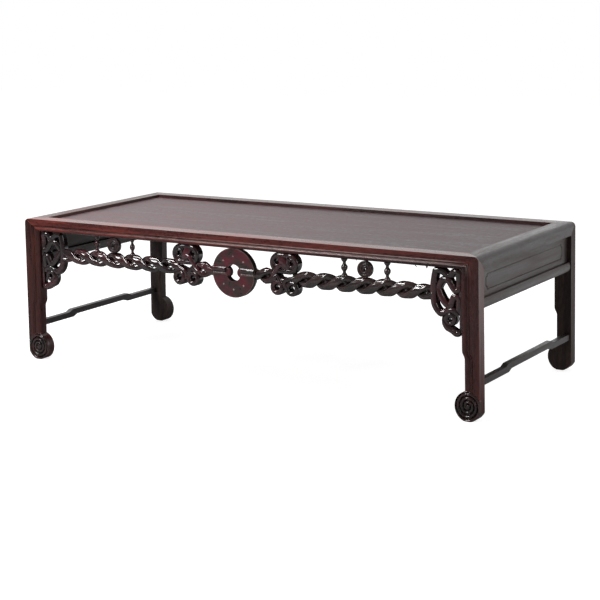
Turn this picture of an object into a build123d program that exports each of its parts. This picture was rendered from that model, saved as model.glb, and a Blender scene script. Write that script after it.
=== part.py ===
from build123d import *
import math
import os

# Low hardwood kang table: mitred frame with a floating panel, scroll feet and a carved rope apron.
#
# Millimetres, +Z up. X runs along the length, the carved front faces -Y, and the origin lies on the
# floor under the middle of the table. Every piece is written as one STEP file, parts/NAME.step.

# ---------------------------------------------------------------- driving sizes
table_height = 280.0
table_depth = 420.0
top_length = 970.0
floor_length = 980.0          # the legs lean outwards, so the feet stand wider than the top

fit_gap = 0.15                # clearance round every tenon, tongue and dowel
mitre_gap = 0.12              # clearance across a mitre

# frame of the top
rail_height = 23.0
rail_width = 30.0             # front and back members, across the table
end_width = 33.0              # left and right members, along the table
corner_round = 9.0            # top ends roll over into the legs
panel_recess = 6.0
panel_thickness = 9.0
panel_tongue = 5.0
panel_tongue_thickness = 5.0
panel_tongue_rise = 1.0       # tongue stands this far above the underside of the panel
panel_play = 1.0              # room for the panel to swell inside its groove

# moulding worked on the front and back edges, measured up from the underside of the rail
bead_width = 7.6
quirk_width = 0.9
fillet_width = 2.0
step_width = 0.9
bead_drop = 3.4
bead_crown = 0.3
quirk_depth = 2.0
fillet_crown = 0.7
fillet_drop = 1.4

# battens under the panel
batten_count = 3
batten_pitch = 230.0
batten_width = 24.0
batten_drop = 0.5             # batten stays this far above the underside of the rails
dovetail_height = 3.0
dovetail_spread = 1.5
batten_tenon_width = 14.0
batten_tenon_height = 5.0
batten_tenon_length = 8.0
batten_tenon_lift = 1.0

# legs
leg_thickness = 20.5
leg_face = 33.0
cusp_step = 4.8               # the leg narrows by this much at the cusp
cusp_height = 106.0
cusp_length = 13.0
cusp_stations = 4
scroll_half_height = 26.5
scroll_half_width = 24.5
foot_flat = 0.8               # worn flat under each scroll
scroll_reach = 47.0           # from the outer face of the leg to the tip of the scroll
spiral_pitch = 6.4
spiral_groove = 2.2
spiral_depth = 1.8
spiral_half_turns = 6
spiral_eye = 3.0            # radius of the first half turn
spiral_shift = 3.0          # centre of the spiral, from the centre of the scroll
spiral_lift = 1.8
leg_tenon_width = 10.0
leg_tenon_depth = 7.0
leg_tenon_height = 11.5
leg_tenon_inset = 17.0        # from the outer corner along the table
leg_tenon_setback = 7.0       # behind the front face

# mitre tenon of the end members
end_tenon_width = 12.0
end_tenon_height = 6.0
end_tenon_inset = 16.0
end_tenon_drop = 4.0
end_tenon_setback = 7.0

# panels and lower rails at the ends and the back
lower_rail_height = 16.5
side_panel_height = 50.0      # clear height between the frame and the lower rails
lower_rail_thickness = 22.0
back_lower_thickness = 18.0
lower_rail_inset = 1.0
lower_rail_round = 4.5
side_panel_thickness = 8.0
side_panel_tongue = 4.0
side_panel_tongue_thickness = 4.0
end_panel_recess = 8.0
back_panel_recess = 8.0
field_margin_long = 24.0
field_margin_high = 10.0
field_line = 1.6
field_line_depth = 1.0
field_notch = 5.0
lower_tenon_length = 9.0
lower_tenon_height = 7.0
lower_tenon_thickness = 6.0

# humpbacked stretchers at the ends; the left one was set a little higher
stretcher_height = 11.2
stretcher_thickness = 11.8
right_stretcher_bottom = 59.3
left_stretcher_bottom = 61.9
stretcher_rise = 4.5
stretcher_inset = 3.0
right_hump = (90.0, 112.0)    # from the middle of the table to the front and the back step
left_hump = (96.0, 97.0)
hump_run = 11.0
hump_lag = 12.0               # underside steps this much nearer the middle than the top
stretcher_tenon = 8.0
stretcher_tenon_length = 10.0

# carved apron under the front rail
apron_setback = 3.5
seat_gap = 0.1                # clearance between pieces that bear on each other
apron_tenon_width = 14.0
apron_tenon_thickness = 6.0
apron_tenon_height = 6.0
pin_radius = 1.4
pin_setback = 7.5             # axis of the pins and of the turned pieces
pin_length = 5.0

spandrel_thickness = 14.0
spandrel_width = 57.0
spandrel_strand = 9.5
stile_width = 6.0
stile_height = 108.0
stile_setback = 3.0
spandrel_tongue = 4.0
spandrel_tongue_thickness = 3.0
spandrel_tongue_height = 60.0
spandrel_tongue_drop = 20.0
spandrel_tenon_inset = 38.0   # from the leg to the tenon that enters the rail
rope_pad_height = 20.0
rope_pad_projection = 0.8

rope_drop = 45.0              # axis of the rope below the rail
rope_setback = 10.5
rope_strand_radius = 6.6
rope_strand_offset = 8.4      # from the axis of the rope to the axis of a strand
rope_strand_width = 20.0      # a strand is cut wider than it is thick
rope_web = 7.0                # wood left between the strands
rope_flattening = 0.62
right_rope_half_turn = 39.5
left_rope_half_turn = 42.0
rope_phase = 229.5            # one strand lies straight above the other here
rope_sections = 8             # sections per half turn
rope_taper = 0.8
rope_taper_length = 40.0
rope_dowel_radius = 2.6
rope_dowel_length = 6.0
rope_seat_depth = 0.6         # flat cut in the crest of the rope under a turned piece

bi_radius = 45.3
bi_hole_radius = 18.0
bi_thickness = 12.0
bi_setback = 4.5
strap_height = 13.0
strap_projection = 3.5
strap_rise = 2.0
strap_end_radius = 8.5

small_disc_radius = 14.6
small_disc_thickness = 8.0
small_disc_hole_radius = 2.6
small_disc_groove = 1.2
small_disc_groove_radius = 8.4
small_disc_drop = 15.4
small_disc_setback = 2.2
small_disc_position = 271.0
baluster_positions = (229.0, 313.0)
baluster_bulb_radius = 5.7
baluster_bell_radius = 4.9
baluster_neck_radius = 2.1

knot_position = 106.6
knot_half_width = 28.0
knot_strand = 9.4
knot_thickness = 17.0
knot_oval_height = 32.5
knot_cross_width = 7.0
knot_ring_outer = 14.4
knot_height = 77.7
knot_core_height = 17.0
knot_core_setback = 3.0

# Centre lines of the strands of the right spandrel, as chains of arcs through three points
# (across from the leg, down from the rail).
outer_strand = [(49, 4.5), (51.6, 24), (51.2, 58), (47.5, 71), (39, 80.5), (30, 77), (22, 71.8),
                (14.5, 72.5), (8, 80)]
cloud_strand = [(49, 4.5), (40, 4.6), (32.5, 10), (25.6, 13.6), (18.5, 10.2), (12, 4.6), (5.5, 8),
                (4.5, 20), (4.8, 32), (9.5, 39), (15, 36), (18.5, 30.5), (22, 25), (28.5, 20.2),
                (36, 22), (41, 28.5), (45, 37)]
middle_strand = [(45, 37), (40.5, 46.5), (34.5, 56), (28.5, 62), (21, 66), (18.8, 58.5),
                 (16.2, 50.5), (9.8, 46.8), (4.2, 53), (4.2, 62), (8, 79)]
lower_strand = [(31, 84), (31, 94), (25.5, 103), (18.5, 106.5), (12, 110.5), (6.5, 110.3),
                (4, 104)]
lower_ring_centre = (21.3, 87.0)
lower_ring_radius = 7.6

# ---------------------------------------------------------------- derived places
half_top = top_length / 2
half_floor = floor_length / 2
half_depth = table_depth / 2
lean = (half_floor - half_top) / table_height
half_reach = max(half_top, half_floor)
rail_under = table_height - rail_height
lower_rail_top = rail_under - side_panel_height
moulding_width = bead_width + quirk_width + fillet_width + step_width
leg_moulding_scale = leg_face / rail_height
inner_x = half_top - end_width
inner_y = half_depth - rail_width
panel_top = table_height - panel_recess
panel_bottom = panel_top - panel_thickness
tongue_bottom = panel_bottom + panel_tongue_rise
tongue_top = tongue_bottom + panel_tongue_thickness
leg_back_y = half_depth - leg_thickness
apron_face_y = -half_depth + apron_setback
rope_y = -half_depth + rope_setback
pin_y = -half_depth + pin_setback
rope_z = rail_under - rope_drop
rope_crest = rope_z + rope_strand_radius + rope_strand_offset
scroll_z = scroll_half_height - foot_flat


def outer_x(z):
    """Distance of the outer face of a leg from the middle of the table at height z."""
    return half_floor - lean * z


def face_width(z):
    """Width of a leg seen from the front: full above the cusp, narrower below it."""
    share = (z - cusp_height) / cusp_length
    share = max(0.0, min(1.0, share))
    smooth = share * share * (3 - 2 * share)
    return leg_face - cusp_step * (1 - smooth)


def leg_inner_x(z):
    return outer_x(z) - face_width(z)


def box(x0, x1, y0, y1, z0, z1):
    """Solid box between two corners."""
    size = (abs(x1 - x0), abs(y1 - y0), abs(z1 - z0))
    return Pos((x0 + x1) / 2, (y0 + y1) / 2, (z0 + z1) / 2) * Box(*size)


def grown_box(x0, x1, y0, y1, z0, z1, gap=fit_gap):
    """Mortise for the box of the same corners."""
    return box(min(x0, x1) - gap, max(x0, x1) + gap, min(y0, y1) - gap, max(y0, y1) + gap,
               min(z0, z1) - gap, max(z0, z1) + gap)


def prism_y(points, y0, y1):
    """Outline of (x, z) points carried along Y."""
    corners = [(x, y0, z) for x, z in points]
    outline = Face(Wire.make_polygon([Vector(*c) for c in corners], close=True))
    return Solid.extrude(outline, Vector(0, y1 - y0, 0))


def prism_x(points, x0, x1):
    """Outline of (y, z) points carried along X."""
    corners = [(x0, y, z) for y, z in points]
    outline = Face(Wire.make_polygon([Vector(*c) for c in corners], close=True))
    return Solid.extrude(outline, Vector(x1 - x0, 0, 0))


def prism_z(points, z0, z1):
    """Outline of (x, y) points carried along Z."""
    corners = [(x, y, z0) for x, y in points]
    outline = Face(Wire.make_polygon([Vector(*c) for c in corners], close=True))
    return Solid.extrude(outline, Vector(0, 0, z1 - z0))


def cylinder_y(x, z, radius, y0, y1):
    disc = Face(Wire.make_circle(radius, Plane((x, y0, z), x_dir=(1, 0, 0), z_dir=(0, 1, 0))))
    return Solid.extrude(disc, Vector(0, y1 - y0, 0))


def cylinder_x(y, z, radius, x0, x1):
    disc = Face(Wire.make_circle(radius, Plane((x0, y, z), x_dir=(0, 1, 0), z_dir=(1, 0, 0))))
    return Solid.extrude(disc, Vector(x1 - x0, 0, 0))


def cylinder_z(x, y, radius, z0, z1):
    disc = Face(Wire.make_circle(radius, Plane((x, y, z0))))
    return Solid.extrude(disc, Vector(0, 0, z1 - z0))


def end_envelope():
    """Everything inside the leaning ends and the rolled-over top corners."""
    with BuildSketch(Plane.XZ) as outline:
        Polygon((-half_floor, 0), (half_floor, 0), (half_top, table_height),
                (-half_top, table_height), align=None)
        upper = outline.vertices().sort_by(Axis.Y)[-2:]
        fillet(upper, corner_round)
    return extrude(outline.sketch, half_depth + 1, both=True)


envelope = end_envelope()


# ---------------------------------------------------------------- moulding
def moulding_edges(place, scale):
    """Edges of the moulding. place(s, d) puts a point s across the edge and d below the face."""
    quirk_start = bead_width * scale
    quirk_end = quirk_start + quirk_width * scale
    fillet_end = quirk_end + fillet_width * scale
    face_start = moulding_width * scale
    bead = ThreePointArc(place(0, bead_drop), place(0.42 * quirk_start, bead_crown),
                         place(quirk_start, quirk_depth))
    quirk = Line(place(quirk_start, quirk_depth), place(quirk_end, quirk_depth))
    middle = (quirk_end + fillet_end) / 2
    small_bead = ThreePointArc(place(quirk_end, quirk_depth), place(middle, fillet_crown),
                               place(fillet_end, fillet_drop))
    step = Line(place(fillet_end, fillet_drop), place(face_start, 0))
    return [bead, quirk, small_bead, step], place(0, bead_drop), place(face_start, 0)


def closed_face(edges, start, finish, corners):
    """Face bounded by the moulding and by straight sides through the corners."""
    chain = [finish] + corners + [start]
    sides = [Line(a, b) for a, b in zip(chain, chain[1:])]
    return Face(Wire(edges + sides))


# ---------------------------------------------------------------- frame of the top
def corner_wedge(grow=0.0):
    """Mitred head of the front right leg: a pyramid that rises to the outer top corner."""
    foot = leg_inner_x(rail_under)
    head = box(foot - grow, half_reach, -half_depth - 1, -leg_back_y + grow, rail_under - 1,
               table_height + 1)
    far = 3 * table_height
    slope_x = rail_height / (half_top - foot)
    above_front = prism_y([(half_top, table_height + grow),
                           (half_top - far, table_height + grow - far * slope_x),
                           (half_top - far, table_height + far), (half_top, table_height + far)],
                          -half_depth - 2, half_depth)
    slope_y = rail_height / leg_thickness
    above_side = prism_x([(-half_depth, table_height + grow),
                          (-half_depth + far, table_height + grow - far * slope_y),
                          (-half_depth + far, table_height + far), (-half_depth, table_height + far)],
                         0, half_reach + 2)
    return head - above_front - above_side


def four_corners(piece):
    """The same piece at the four corners of the table."""
    right = [piece, mirror(piece, about=Plane.XZ)]
    return right + [mirror(p, about=Plane.YZ) for p in right]


def leg_tenon_corners():
    x1 = half_top - leg_tenon_inset
    y0 = -half_depth + leg_tenon_setback
    return (x1 - leg_tenon_width, x1, y0, y0 + leg_tenon_depth, rail_under - 2,
            rail_under + leg_tenon_height)


def end_tenon_corners():
    x1 = half_top - end_tenon_inset
    z1 = table_height - end_tenon_drop
    return (x1 - end_tenon_width, x1, -half_depth + end_tenon_setback, -inner_y,
            z1 - end_tenon_height, z1)


def batten_places():
    middle = (batten_count - 1) / 2
    return [(index - middle) * batten_pitch for index in range(batten_count)]


def batten_tenon_corners(x):
    z0 = rail_under + batten_drop + batten_tenon_lift
    return (x - batten_tenon_width / 2, x + batten_tenon_width / 2, -inner_y - batten_tenon_length,
            -inner_y + 1, z0, z0 + batten_tenon_height)


def long_rail():
    """Front member of the frame, before its own mortises for the apron."""
    def place(s, d):
        return Vector(-half_reach, -half_depth + d, rail_under + s)
    edges, start, finish = moulding_edges(place, 1.0)
    corners = [Vector(-half_reach, -half_depth, table_height),
               Vector(-half_reach, -inner_y, table_height),
               Vector(-half_reach, -inner_y, rail_under)]
    bar = Solid.extrude(closed_face(edges, start, finish, corners), Vector(2 * half_reach, 0, 0))
    plan = prism_z([(-half_top, -half_depth), (half_top, -half_depth), (inner_x, -inner_y),
                    (-inner_x, -inner_y)], rail_under, table_height)
    rail = bar & plan & envelope
    wedge = corner_wedge(mitre_gap)
    leg_mortise = grown_box(*leg_tenon_corners())
    end_mortise = grown_box(*end_tenon_corners())
    for cut in (wedge, leg_mortise, end_mortise):
        rail = rail - cut - mirror(cut, about=Plane.YZ)
    rail = rail - box(-inner_x, inner_x, -inner_y - panel_tongue - panel_play, -inner_y + 1,
                      tongue_bottom - fit_gap, tongue_top + fit_gap)
    for x in batten_places():
        rail = rail - grown_box(*batten_tenon_corners(x))
    return rail


def end_rail():
    """Right member of the frame, with a tenon through each mitre."""
    y = half_depth - mitre_gap
    inner = inner_y - mitre_gap
    plan = prism_z([(half_reach + 1, -y), (half_reach + 1, y), (half_top, y), (inner_x, inner),
                    (inner_x, -inner), (half_top, -y)], rail_under, table_height)
    rail = plan & envelope
    tenon = box(*end_tenon_corners())
    for piece in (tenon, mirror(tenon, about=Plane.XZ)):
        rail = rail + piece
    wedge = corner_wedge(mitre_gap)
    rail = rail - wedge - mirror(wedge, about=Plane.XZ)
    rail = rail - box(inner_x - 1, inner_x + panel_tongue + panel_play, -inner, inner,
                      tongue_bottom - fit_gap, tongue_top + fit_gap)
    groove_x = outer_x(rail_under) - end_panel_recess - side_panel_thickness / 2
    half_groove = side_panel_tongue_thickness / 2 + fit_gap
    return rail - box(groove_x - half_groove, groove_x + half_groove, -leg_back_y, leg_back_y,
                      rail_under - 1, rail_under + side_panel_tongue + fit_gap)


# ---------------------------------------------------------------- top panel and battens
def dovetail(x, grow=0.0):
    """Ridge along the top of a batten, wider above than below."""
    neck = batten_width / 2 - dovetail_spread - 2 + grow
    crest = neck + dovetail_spread
    z0 = panel_bottom
    return prism_y([(x - neck, z0 - 1), (x + neck, z0 - 1), (x + neck, z0),
                    (x + crest, z0 + dovetail_height + grow),
                    (x - crest, z0 + dovetail_height + grow), (x - neck, z0)], -inner_y, inner_y)


def top_panel():
    board = box(-inner_x + fit_gap, inner_x - fit_gap, -inner_y + fit_gap, inner_y - fit_gap,
                panel_bottom, panel_top)
    tongue = box(-inner_x - panel_tongue, inner_x + panel_tongue, -inner_y - panel_tongue,
                 inner_y + panel_tongue, tongue_bottom, tongue_top)
    for corner in four_corners(box(inner_x - 2, half_top, -half_depth, -inner_y + 2, 0,
                                   table_height)):
        tongue = tongue - corner
    panel = board + tongue
    for x in batten_places():
        panel = panel - dovetail(x, fit_gap)
    return panel


def batten(x):
    z0 = rail_under + batten_drop
    bar = box(x - batten_width / 2, x + batten_width / 2, -inner_y + fit_gap, inner_y - fit_gap, z0,
              panel_bottom - fit_gap)
    ridge = dovetail(x) & box(x - batten_width, x + batten_width, -inner_y + fit_gap,
                              inner_y - fit_gap, z0, panel_top)
    tenon = box(*batten_tenon_corners(x))
    return bar + ridge + tenon + mirror(tenon, about=Plane.XZ)


# ---------------------------------------------------------------- legs
def leg_section(z):
    """Horizontal section of the front right leg, moulded along its inner front edge."""
    inner = leg_inner_x(z)

    def place(s, d):
        return Vector(inner + s, -half_depth + d, z)
    edges, start, finish = moulding_edges(place, leg_moulding_scale)
    corners = [Vector(outer_x(z), -half_depth, z), Vector(outer_x(z), -leg_back_y, z),
               Vector(inner, -leg_back_y, z)]
    return closed_face(edges, start, finish, corners)


def leg_heights():
    steps = [cusp_height + cusp_length * n / cusp_stations for n in range(cusp_stations + 1)]
    return [scroll_z] + steps + [table_height]


def spiral_groove_solid(x, z):
    """Groove of half circles that opens out from the eye of the scroll."""
    edges = []
    start = x + spiral_eye
    side = 1
    for turn in range(spiral_half_turns):
        radius = spiral_eye + turn * spiral_pitch / 2
        middle = Vector(start - side * radius, -half_depth, z + side * radius)
        finish = start - 2 * side * radius
        edges.append(ThreePointArc(Vector(start, -half_depth, z), middle,
                                   Vector(finish, -half_depth, z)))
        start = finish
        side = -side
    near = x + spiral_eye - spiral_groove / 2
    far = x + spiral_eye + spiral_groove / 2
    pen = Face(Wire.make_polygon([Vector(near, -half_depth - 1, z), Vector(far, -half_depth - 1, z),
                                  Vector(far, -half_depth + spiral_depth, z),
                                  Vector(near, -half_depth + spiral_depth, z)], close=True))
    return Solid.sweep(pen, Wire(edges))


def side_groove_corners(z0, z1, recess):
    """Groove in the leg for the tongue of a panel that lies recess behind the outer face."""
    middle = outer_x((z0 + z1) / 2) - recess - side_panel_thickness / 2
    half = side_panel_tongue_thickness / 2 + fit_gap
    return (middle - half, middle + half, -leg_back_y - side_panel_tongue - fit_gap,
            -leg_back_y + 1, z0, z1)


def lower_tenon_corners():
    """Tenon of the lower end rail in the front right leg."""
    z_middle = lower_rail_top - lower_rail_height / 2
    x1 = outer_x(z_middle) - lower_rail_inset - (lower_rail_thickness - lower_tenon_thickness) / 2
    return (x1 - lower_tenon_thickness, x1, -leg_back_y - lower_tenon_length, -leg_back_y + 1,
            z_middle - lower_tenon_height / 2, z_middle + lower_tenon_height / 2)


def stretcher_face_x(bottom):
    return outer_x(bottom + stretcher_height / 2) - stretcher_inset


def stretcher_tenon_corners(bottom):
    z_middle = bottom + stretcher_height / 2
    x_middle = stretcher_face_x(bottom) - stretcher_thickness / 2
    half = stretcher_tenon / 2
    return (x_middle - half, x_middle + half, -leg_back_y - stretcher_tenon_length,
            -leg_back_y + 1, z_middle - half, z_middle + half)


def leg(stretcher_bottom):
    """Right leg with its scroll foot and the mortises of the end of the table."""
    shank = loft([leg_section(z) for z in leg_heights()], ruled=True)
    oval = Pos(scroll_x(), scroll_z) * Ellipse(scroll_half_width, scroll_half_height)
    scroll = Pos(0, -leg_back_y, 0) * extrude(Plane.XZ * oval, leg_thickness)
    body = (shank + scroll) & envelope
    head_zone = box(0, half_reach + 2, -half_depth - 2, 0, rail_under, table_height + 2)
    body = (body - head_zone) + (body & corner_wedge())
    body = body + box(*leg_tenon_corners())
    body = body - box(*side_groove_corners(lower_rail_top - 2, rail_under, end_panel_recess))
    body = body - grown_box(*lower_tenon_corners())
    return body - grown_box(*stretcher_tenon_corners(stretcher_bottom))


def scroll_x():
    return half_floor - scroll_reach + scroll_half_width


def front_leg(plain_leg):
    """Front right leg: spiral on the scroll and a mortise for the spandrel."""
    body = plain_leg - spiral_groove_solid(scroll_x() - spiral_shift, scroll_z + spiral_lift)
    return body - grown_box(*spandrel_tongue_corners())


def back_tenon_corners():
    """Tenon of the lower back rail in the back right leg."""
    z_middle = lower_rail_top - lower_rail_height / 2
    inner = leg_inner_x(z_middle)
    y1 = half_depth - lower_rail_inset - (back_lower_thickness - lower_tenon_thickness) / 2
    return (inner - 1, inner + lower_tenon_length, y1 - lower_tenon_thickness, y1,
            z_middle - lower_tenon_height / 2, z_middle + lower_tenon_height / 2)


def back_leg(plain_leg):
    """Back right leg: plain scroll, grooved for the back panel as well."""
    body = mirror(plain_leg, about=Plane.XZ)
    y_middle = half_depth - back_panel_recess - side_panel_thickness / 2
    half = side_panel_tongue_thickness / 2 + fit_gap
    inner = leg_inner_x(rail_under)
    groove = box(inner - 1, inner + side_panel_tongue + 2, y_middle - half, y_middle + half,
                 lower_rail_top - 2, rail_under)
    return body - groove - grown_box(*back_tenon_corners())


# ---------------------------------------------------------------- panels and lower rails
def field_line_points(long_half, z0, z1, notch):
    """Rectangle with indented corners, as (along, z) points."""
    return [(-long_half + notch, z0), (long_half - notch, z0), (long_half - notch, z0 + notch),
            (long_half, z0 + notch), (long_half, z1 - notch), (long_half - notch, z1 - notch),
            (long_half - notch, z1), (-long_half + notch, z1), (-long_half + notch, z1 - notch),
            (-long_half, z1 - notch), (-long_half, z0 + notch), (-long_half + notch, z0 + notch)]


def field_groove(long_half, depth_from, depth_to, along_x):
    """Incised line of a side panel, as a thin frame-shaped solid."""
    z0 = lower_rail_top + field_margin_high
    z1 = rail_under - field_margin_high - 2
    outer = field_line_points(long_half, z0, z1, field_notch)
    inner = field_line_points(long_half - field_line, z0 + field_line, z1 - field_line, field_notch)
    carry = prism_y if along_x else prism_x
    return carry(outer, depth_from, depth_to) - carry(inner, depth_from, depth_to)


def end_panel():
    """Right end panel, leaning with the legs, tongued on all four edges."""
    def slab(inset0, inset1, z0, z1, half_length):
        points = [(outer_x(z0) - inset1, z0), (outer_x(z0) - inset0, z0),
                  (outer_x(z1) - inset0, z1), (outer_x(z1) - inset1, z1)]
        return prism_y(points, -half_length, half_length)
    middle = end_panel_recess + side_panel_thickness / 2
    half_tongue = side_panel_tongue_thickness / 2 - 0.6
    board = slab(end_panel_recess, end_panel_recess + side_panel_thickness,
                 lower_rail_top + fit_gap, rail_under - fit_gap, leg_back_y - fit_gap)
    tongue = slab(middle - half_tongue, middle + half_tongue, lower_rail_top - side_panel_tongue,
                  rail_under + side_panel_tongue - fit_gap, leg_back_y - fit_gap)
    ears = slab(middle - half_tongue, middle + half_tongue, lower_rail_top + fit_gap,
                rail_under - fit_gap, leg_back_y + side_panel_tongue)
    z_middle = (lower_rail_top + rail_under) / 2
    face = outer_x(z_middle) - end_panel_recess
    line = field_groove(leg_back_y - field_margin_long, face - field_line_depth, face + 3, False)
    return board + tongue + ears - line


def back_panel():
    half_length = leg_inner_x(rail_under)
    y1 = half_depth - back_panel_recess
    y0 = y1 - side_panel_thickness
    y_middle = (y0 + y1) / 2
    half_tongue = side_panel_tongue_thickness / 2 - fit_gap
    board = box(-half_length + fit_gap, half_length - fit_gap, y0, y1, lower_rail_top + fit_gap,
                rail_under - fit_gap)
    tongue = box(-half_length + fit_gap, half_length - fit_gap, y_middle - half_tongue,
                 y_middle + half_tongue, lower_rail_top - side_panel_tongue,
                 rail_under + side_panel_tongue - fit_gap)
    reach = half_length + side_panel_tongue
    ears = box(-reach, reach, y_middle - half_tongue, y_middle + half_tongue,
               lower_rail_top + fit_gap, rail_under - fit_gap)
    line = field_groove(half_length - field_margin_long, y1 - field_line_depth, y1 + 3, True)
    return board + tongue + ears - line


def lower_rail_face(place, thickness):
    """Section of a lower rail, rounded along its outer face. place(inset, z) gives the point."""
    z1 = lower_rail_top
    z0 = lower_rail_top - lower_rail_height
    near = lower_rail_inset
    far = lower_rail_inset + thickness
    bow = ThreePointArc(place(near + lower_rail_round / 2, z0), place(near, (z0 + z1) / 2),
                        place(near + lower_rail_round / 2, z1))
    chain = [place(near + lower_rail_round / 2, z1), place(far, z1), place(far, z0),
             place(near + lower_rail_round / 2, z0)]
    return Face(Wire([bow] + [Line(a, b) for a, b in zip(chain, chain[1:])]))


def end_lower_rail():
    half = leg_back_y - fit_gap
    z_middle = lower_rail_top - lower_rail_height / 2

    def place(inset, z):
        return Vector(outer_x(z_middle) - inset, -half, z)
    face = lower_rail_face(place, lower_rail_thickness)
    rail = Solid.extrude(face, Vector(0, 2 * half, 0))
    tenon = box(*lower_tenon_corners())
    rail = rail + tenon + mirror(tenon, about=Plane.XZ)
    groove_x = outer_x(lower_rail_top) - end_panel_recess - side_panel_thickness / 2
    half_groove = side_panel_tongue_thickness / 2 + fit_gap
    return rail - box(groove_x - half_groove, groove_x + half_groove, -half, half,
                      lower_rail_top - side_panel_tongue - fit_gap, lower_rail_top + 1)


def back_lower_rail():
    z_middle = lower_rail_top - lower_rail_height / 2
    half = leg_inner_x(z_middle) - fit_gap

    def place(inset, z):
        return Vector(-half, half_depth - inset, z)
    face = lower_rail_face(place, back_lower_thickness)
    rail = Solid.extrude(face, Vector(2 * half, 0, 0))
    tenon = box(*back_tenon_corners())
    rail = rail + tenon + mirror(tenon, about=Plane.YZ)
    groove_y = half_depth - back_panel_recess - side_panel_thickness / 2
    half_groove = side_panel_tongue_thickness / 2 + fit_gap
    return rail - box(-half, half, groove_y - half_groove, groove_y + half_groove,
                      lower_rail_top - side_panel_tongue - fit_gap, lower_rail_top + 1)


def stretcher(bottom, hump):
    """Stretcher at the right end: its middle is raised, with a sloping step near each leg."""
    end = leg_back_y - fit_gap
    z0 = bottom
    z1 = bottom + stretcher_height
    rise = stretcher_rise
    front, back = hump
    foot = hump_run / 2
    lag = hump_lag
    outline = [(-end, z0), (lag - front - foot, z0), (lag - front + foot, z0 + rise),
               (back - lag - foot, z0 + rise), (back - lag + foot, z0), (end, z0), (end, z1),
               (back + foot, z1), (back - foot, z1 + rise), (foot - front, z1 + rise),
               (-front - foot, z1), (-end, z1)]
    x1 = stretcher_face_x(bottom)
    bar = prism_x(outline, x1 - stretcher_thickness, x1)
    tenon = box(*stretcher_tenon_corners(bottom))
    return bar + tenon + mirror(tenon, about=Plane.XZ)


# ---------------------------------------------------------------- carved apron
def arc_band(a, m, b, width):
    """Band of the given width along the arc from a through m to b."""
    ax, az = a
    mx, mz = m
    bx, bz = b
    half = width / 2
    turn = 2 * (ax * (mz - bz) + mx * (bz - az) + bx * (az - mz))
    chord = math.hypot(bx - ax, bz - az)
    if abs(turn) < 0.02 * chord * chord:
        nx = -(bz - az) / chord * half
        nz = (bx - ax) / chord * half
        return make_face(Polyline((ax + nx, az + nz), (bx + nx, bz + nz), (bx - nx, bz - nz),
                                  (ax - nx, az - nz), close=True))
    square_a = ax * ax + az * az
    square_m = mx * mx + mz * mz
    square_b = bx * bx + bz * bz
    cx = (square_a * (mz - bz) + square_m * (bz - az) + square_b * (az - mz)) / turn
    cz = (square_a * (bx - mx) + square_m * (ax - bx) + square_b * (mx - ax)) / turn
    radius = math.hypot(ax - cx, az - cz)

    def at(point, distance):
        share = distance / radius
        return (cx + (point[0] - cx) * share, cz + (point[1] - cz) * share)
    far = radius + half
    near = radius - half
    edges = [ThreePointArc(at(a, far), at(m, far), at(b, far))]
    if near > 0.3:
        edges.append(Line(at(b, far), at(b, near)))
        edges.append(ThreePointArc(at(b, near), at(m, near), at(a, near)))
        edges.append(Line(at(a, near), at(a, far)))
    else:
        edges.append(Line(at(b, far), (cx, cz)))
        edges.append(Line((cx, cz), at(a, far)))
    return make_face(edges)


def strand(points, width, y0, y1):
    """Strand of constant width along a chain of arcs through (x, z) points."""
    flat = Pos(*points[0]) * Circle(width / 2)
    for index in range(0, len(points) - 2, 2):
        flat = flat + arc_band(points[index], points[index + 1], points[index + 2], width)
        flat = flat + Pos(*points[index + 2]) * Circle(width / 2)
    return Pos(0, y1, 0) * extrude(Plane.XZ * flat, y1 - y0)


def ring(x, z, outer, width, y0, y1):
    """Round loop of a strand."""
    return cylinder_y(x, z, outer, y0, y1) - cylinder_y(x, z, outer - width, y0 - 1, y1 + 1)


def rail_tenon_corners(x, y):
    """Tenon that holds a carved piece under the front rail."""
    return (x - apron_tenon_width / 2, x + apron_tenon_width / 2, y - apron_tenon_thickness / 2,
            y + apron_tenon_thickness / 2, rail_under - 2, rail_under + apron_tenon_height)


def spandrel_edge():
    return leg_inner_x(rail_under)


def spandrel_tenon_x():
    return spandrel_edge() - spandrel_tenon_inset - apron_tenon_width / 2


def spandrel_middle_y():
    return apron_face_y + spandrel_thickness / 2


def spandrel_tongue_corners():
    """Long tongue of the right spandrel, let into the leg."""
    z1 = rail_under - spandrel_tongue_drop
    z0 = z1 - spandrel_tongue_height
    y0 = spandrel_middle_y() - spandrel_tongue_thickness / 2
    return (leg_inner_x(z1) - stile_width / 2, leg_inner_x(z0) + spandrel_tongue, y0,
            y0 + spandrel_tongue_thickness, z0, z1)


def rope_pad_x():
    """Plane where the outer length of rope meets the right spandrel."""
    return spandrel_edge() - spandrel_width - rope_pad_projection


def rope_dowel(x0, x1, radius):
    return cylinder_x(rope_y, rope_z, radius, x0, x1)


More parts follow.
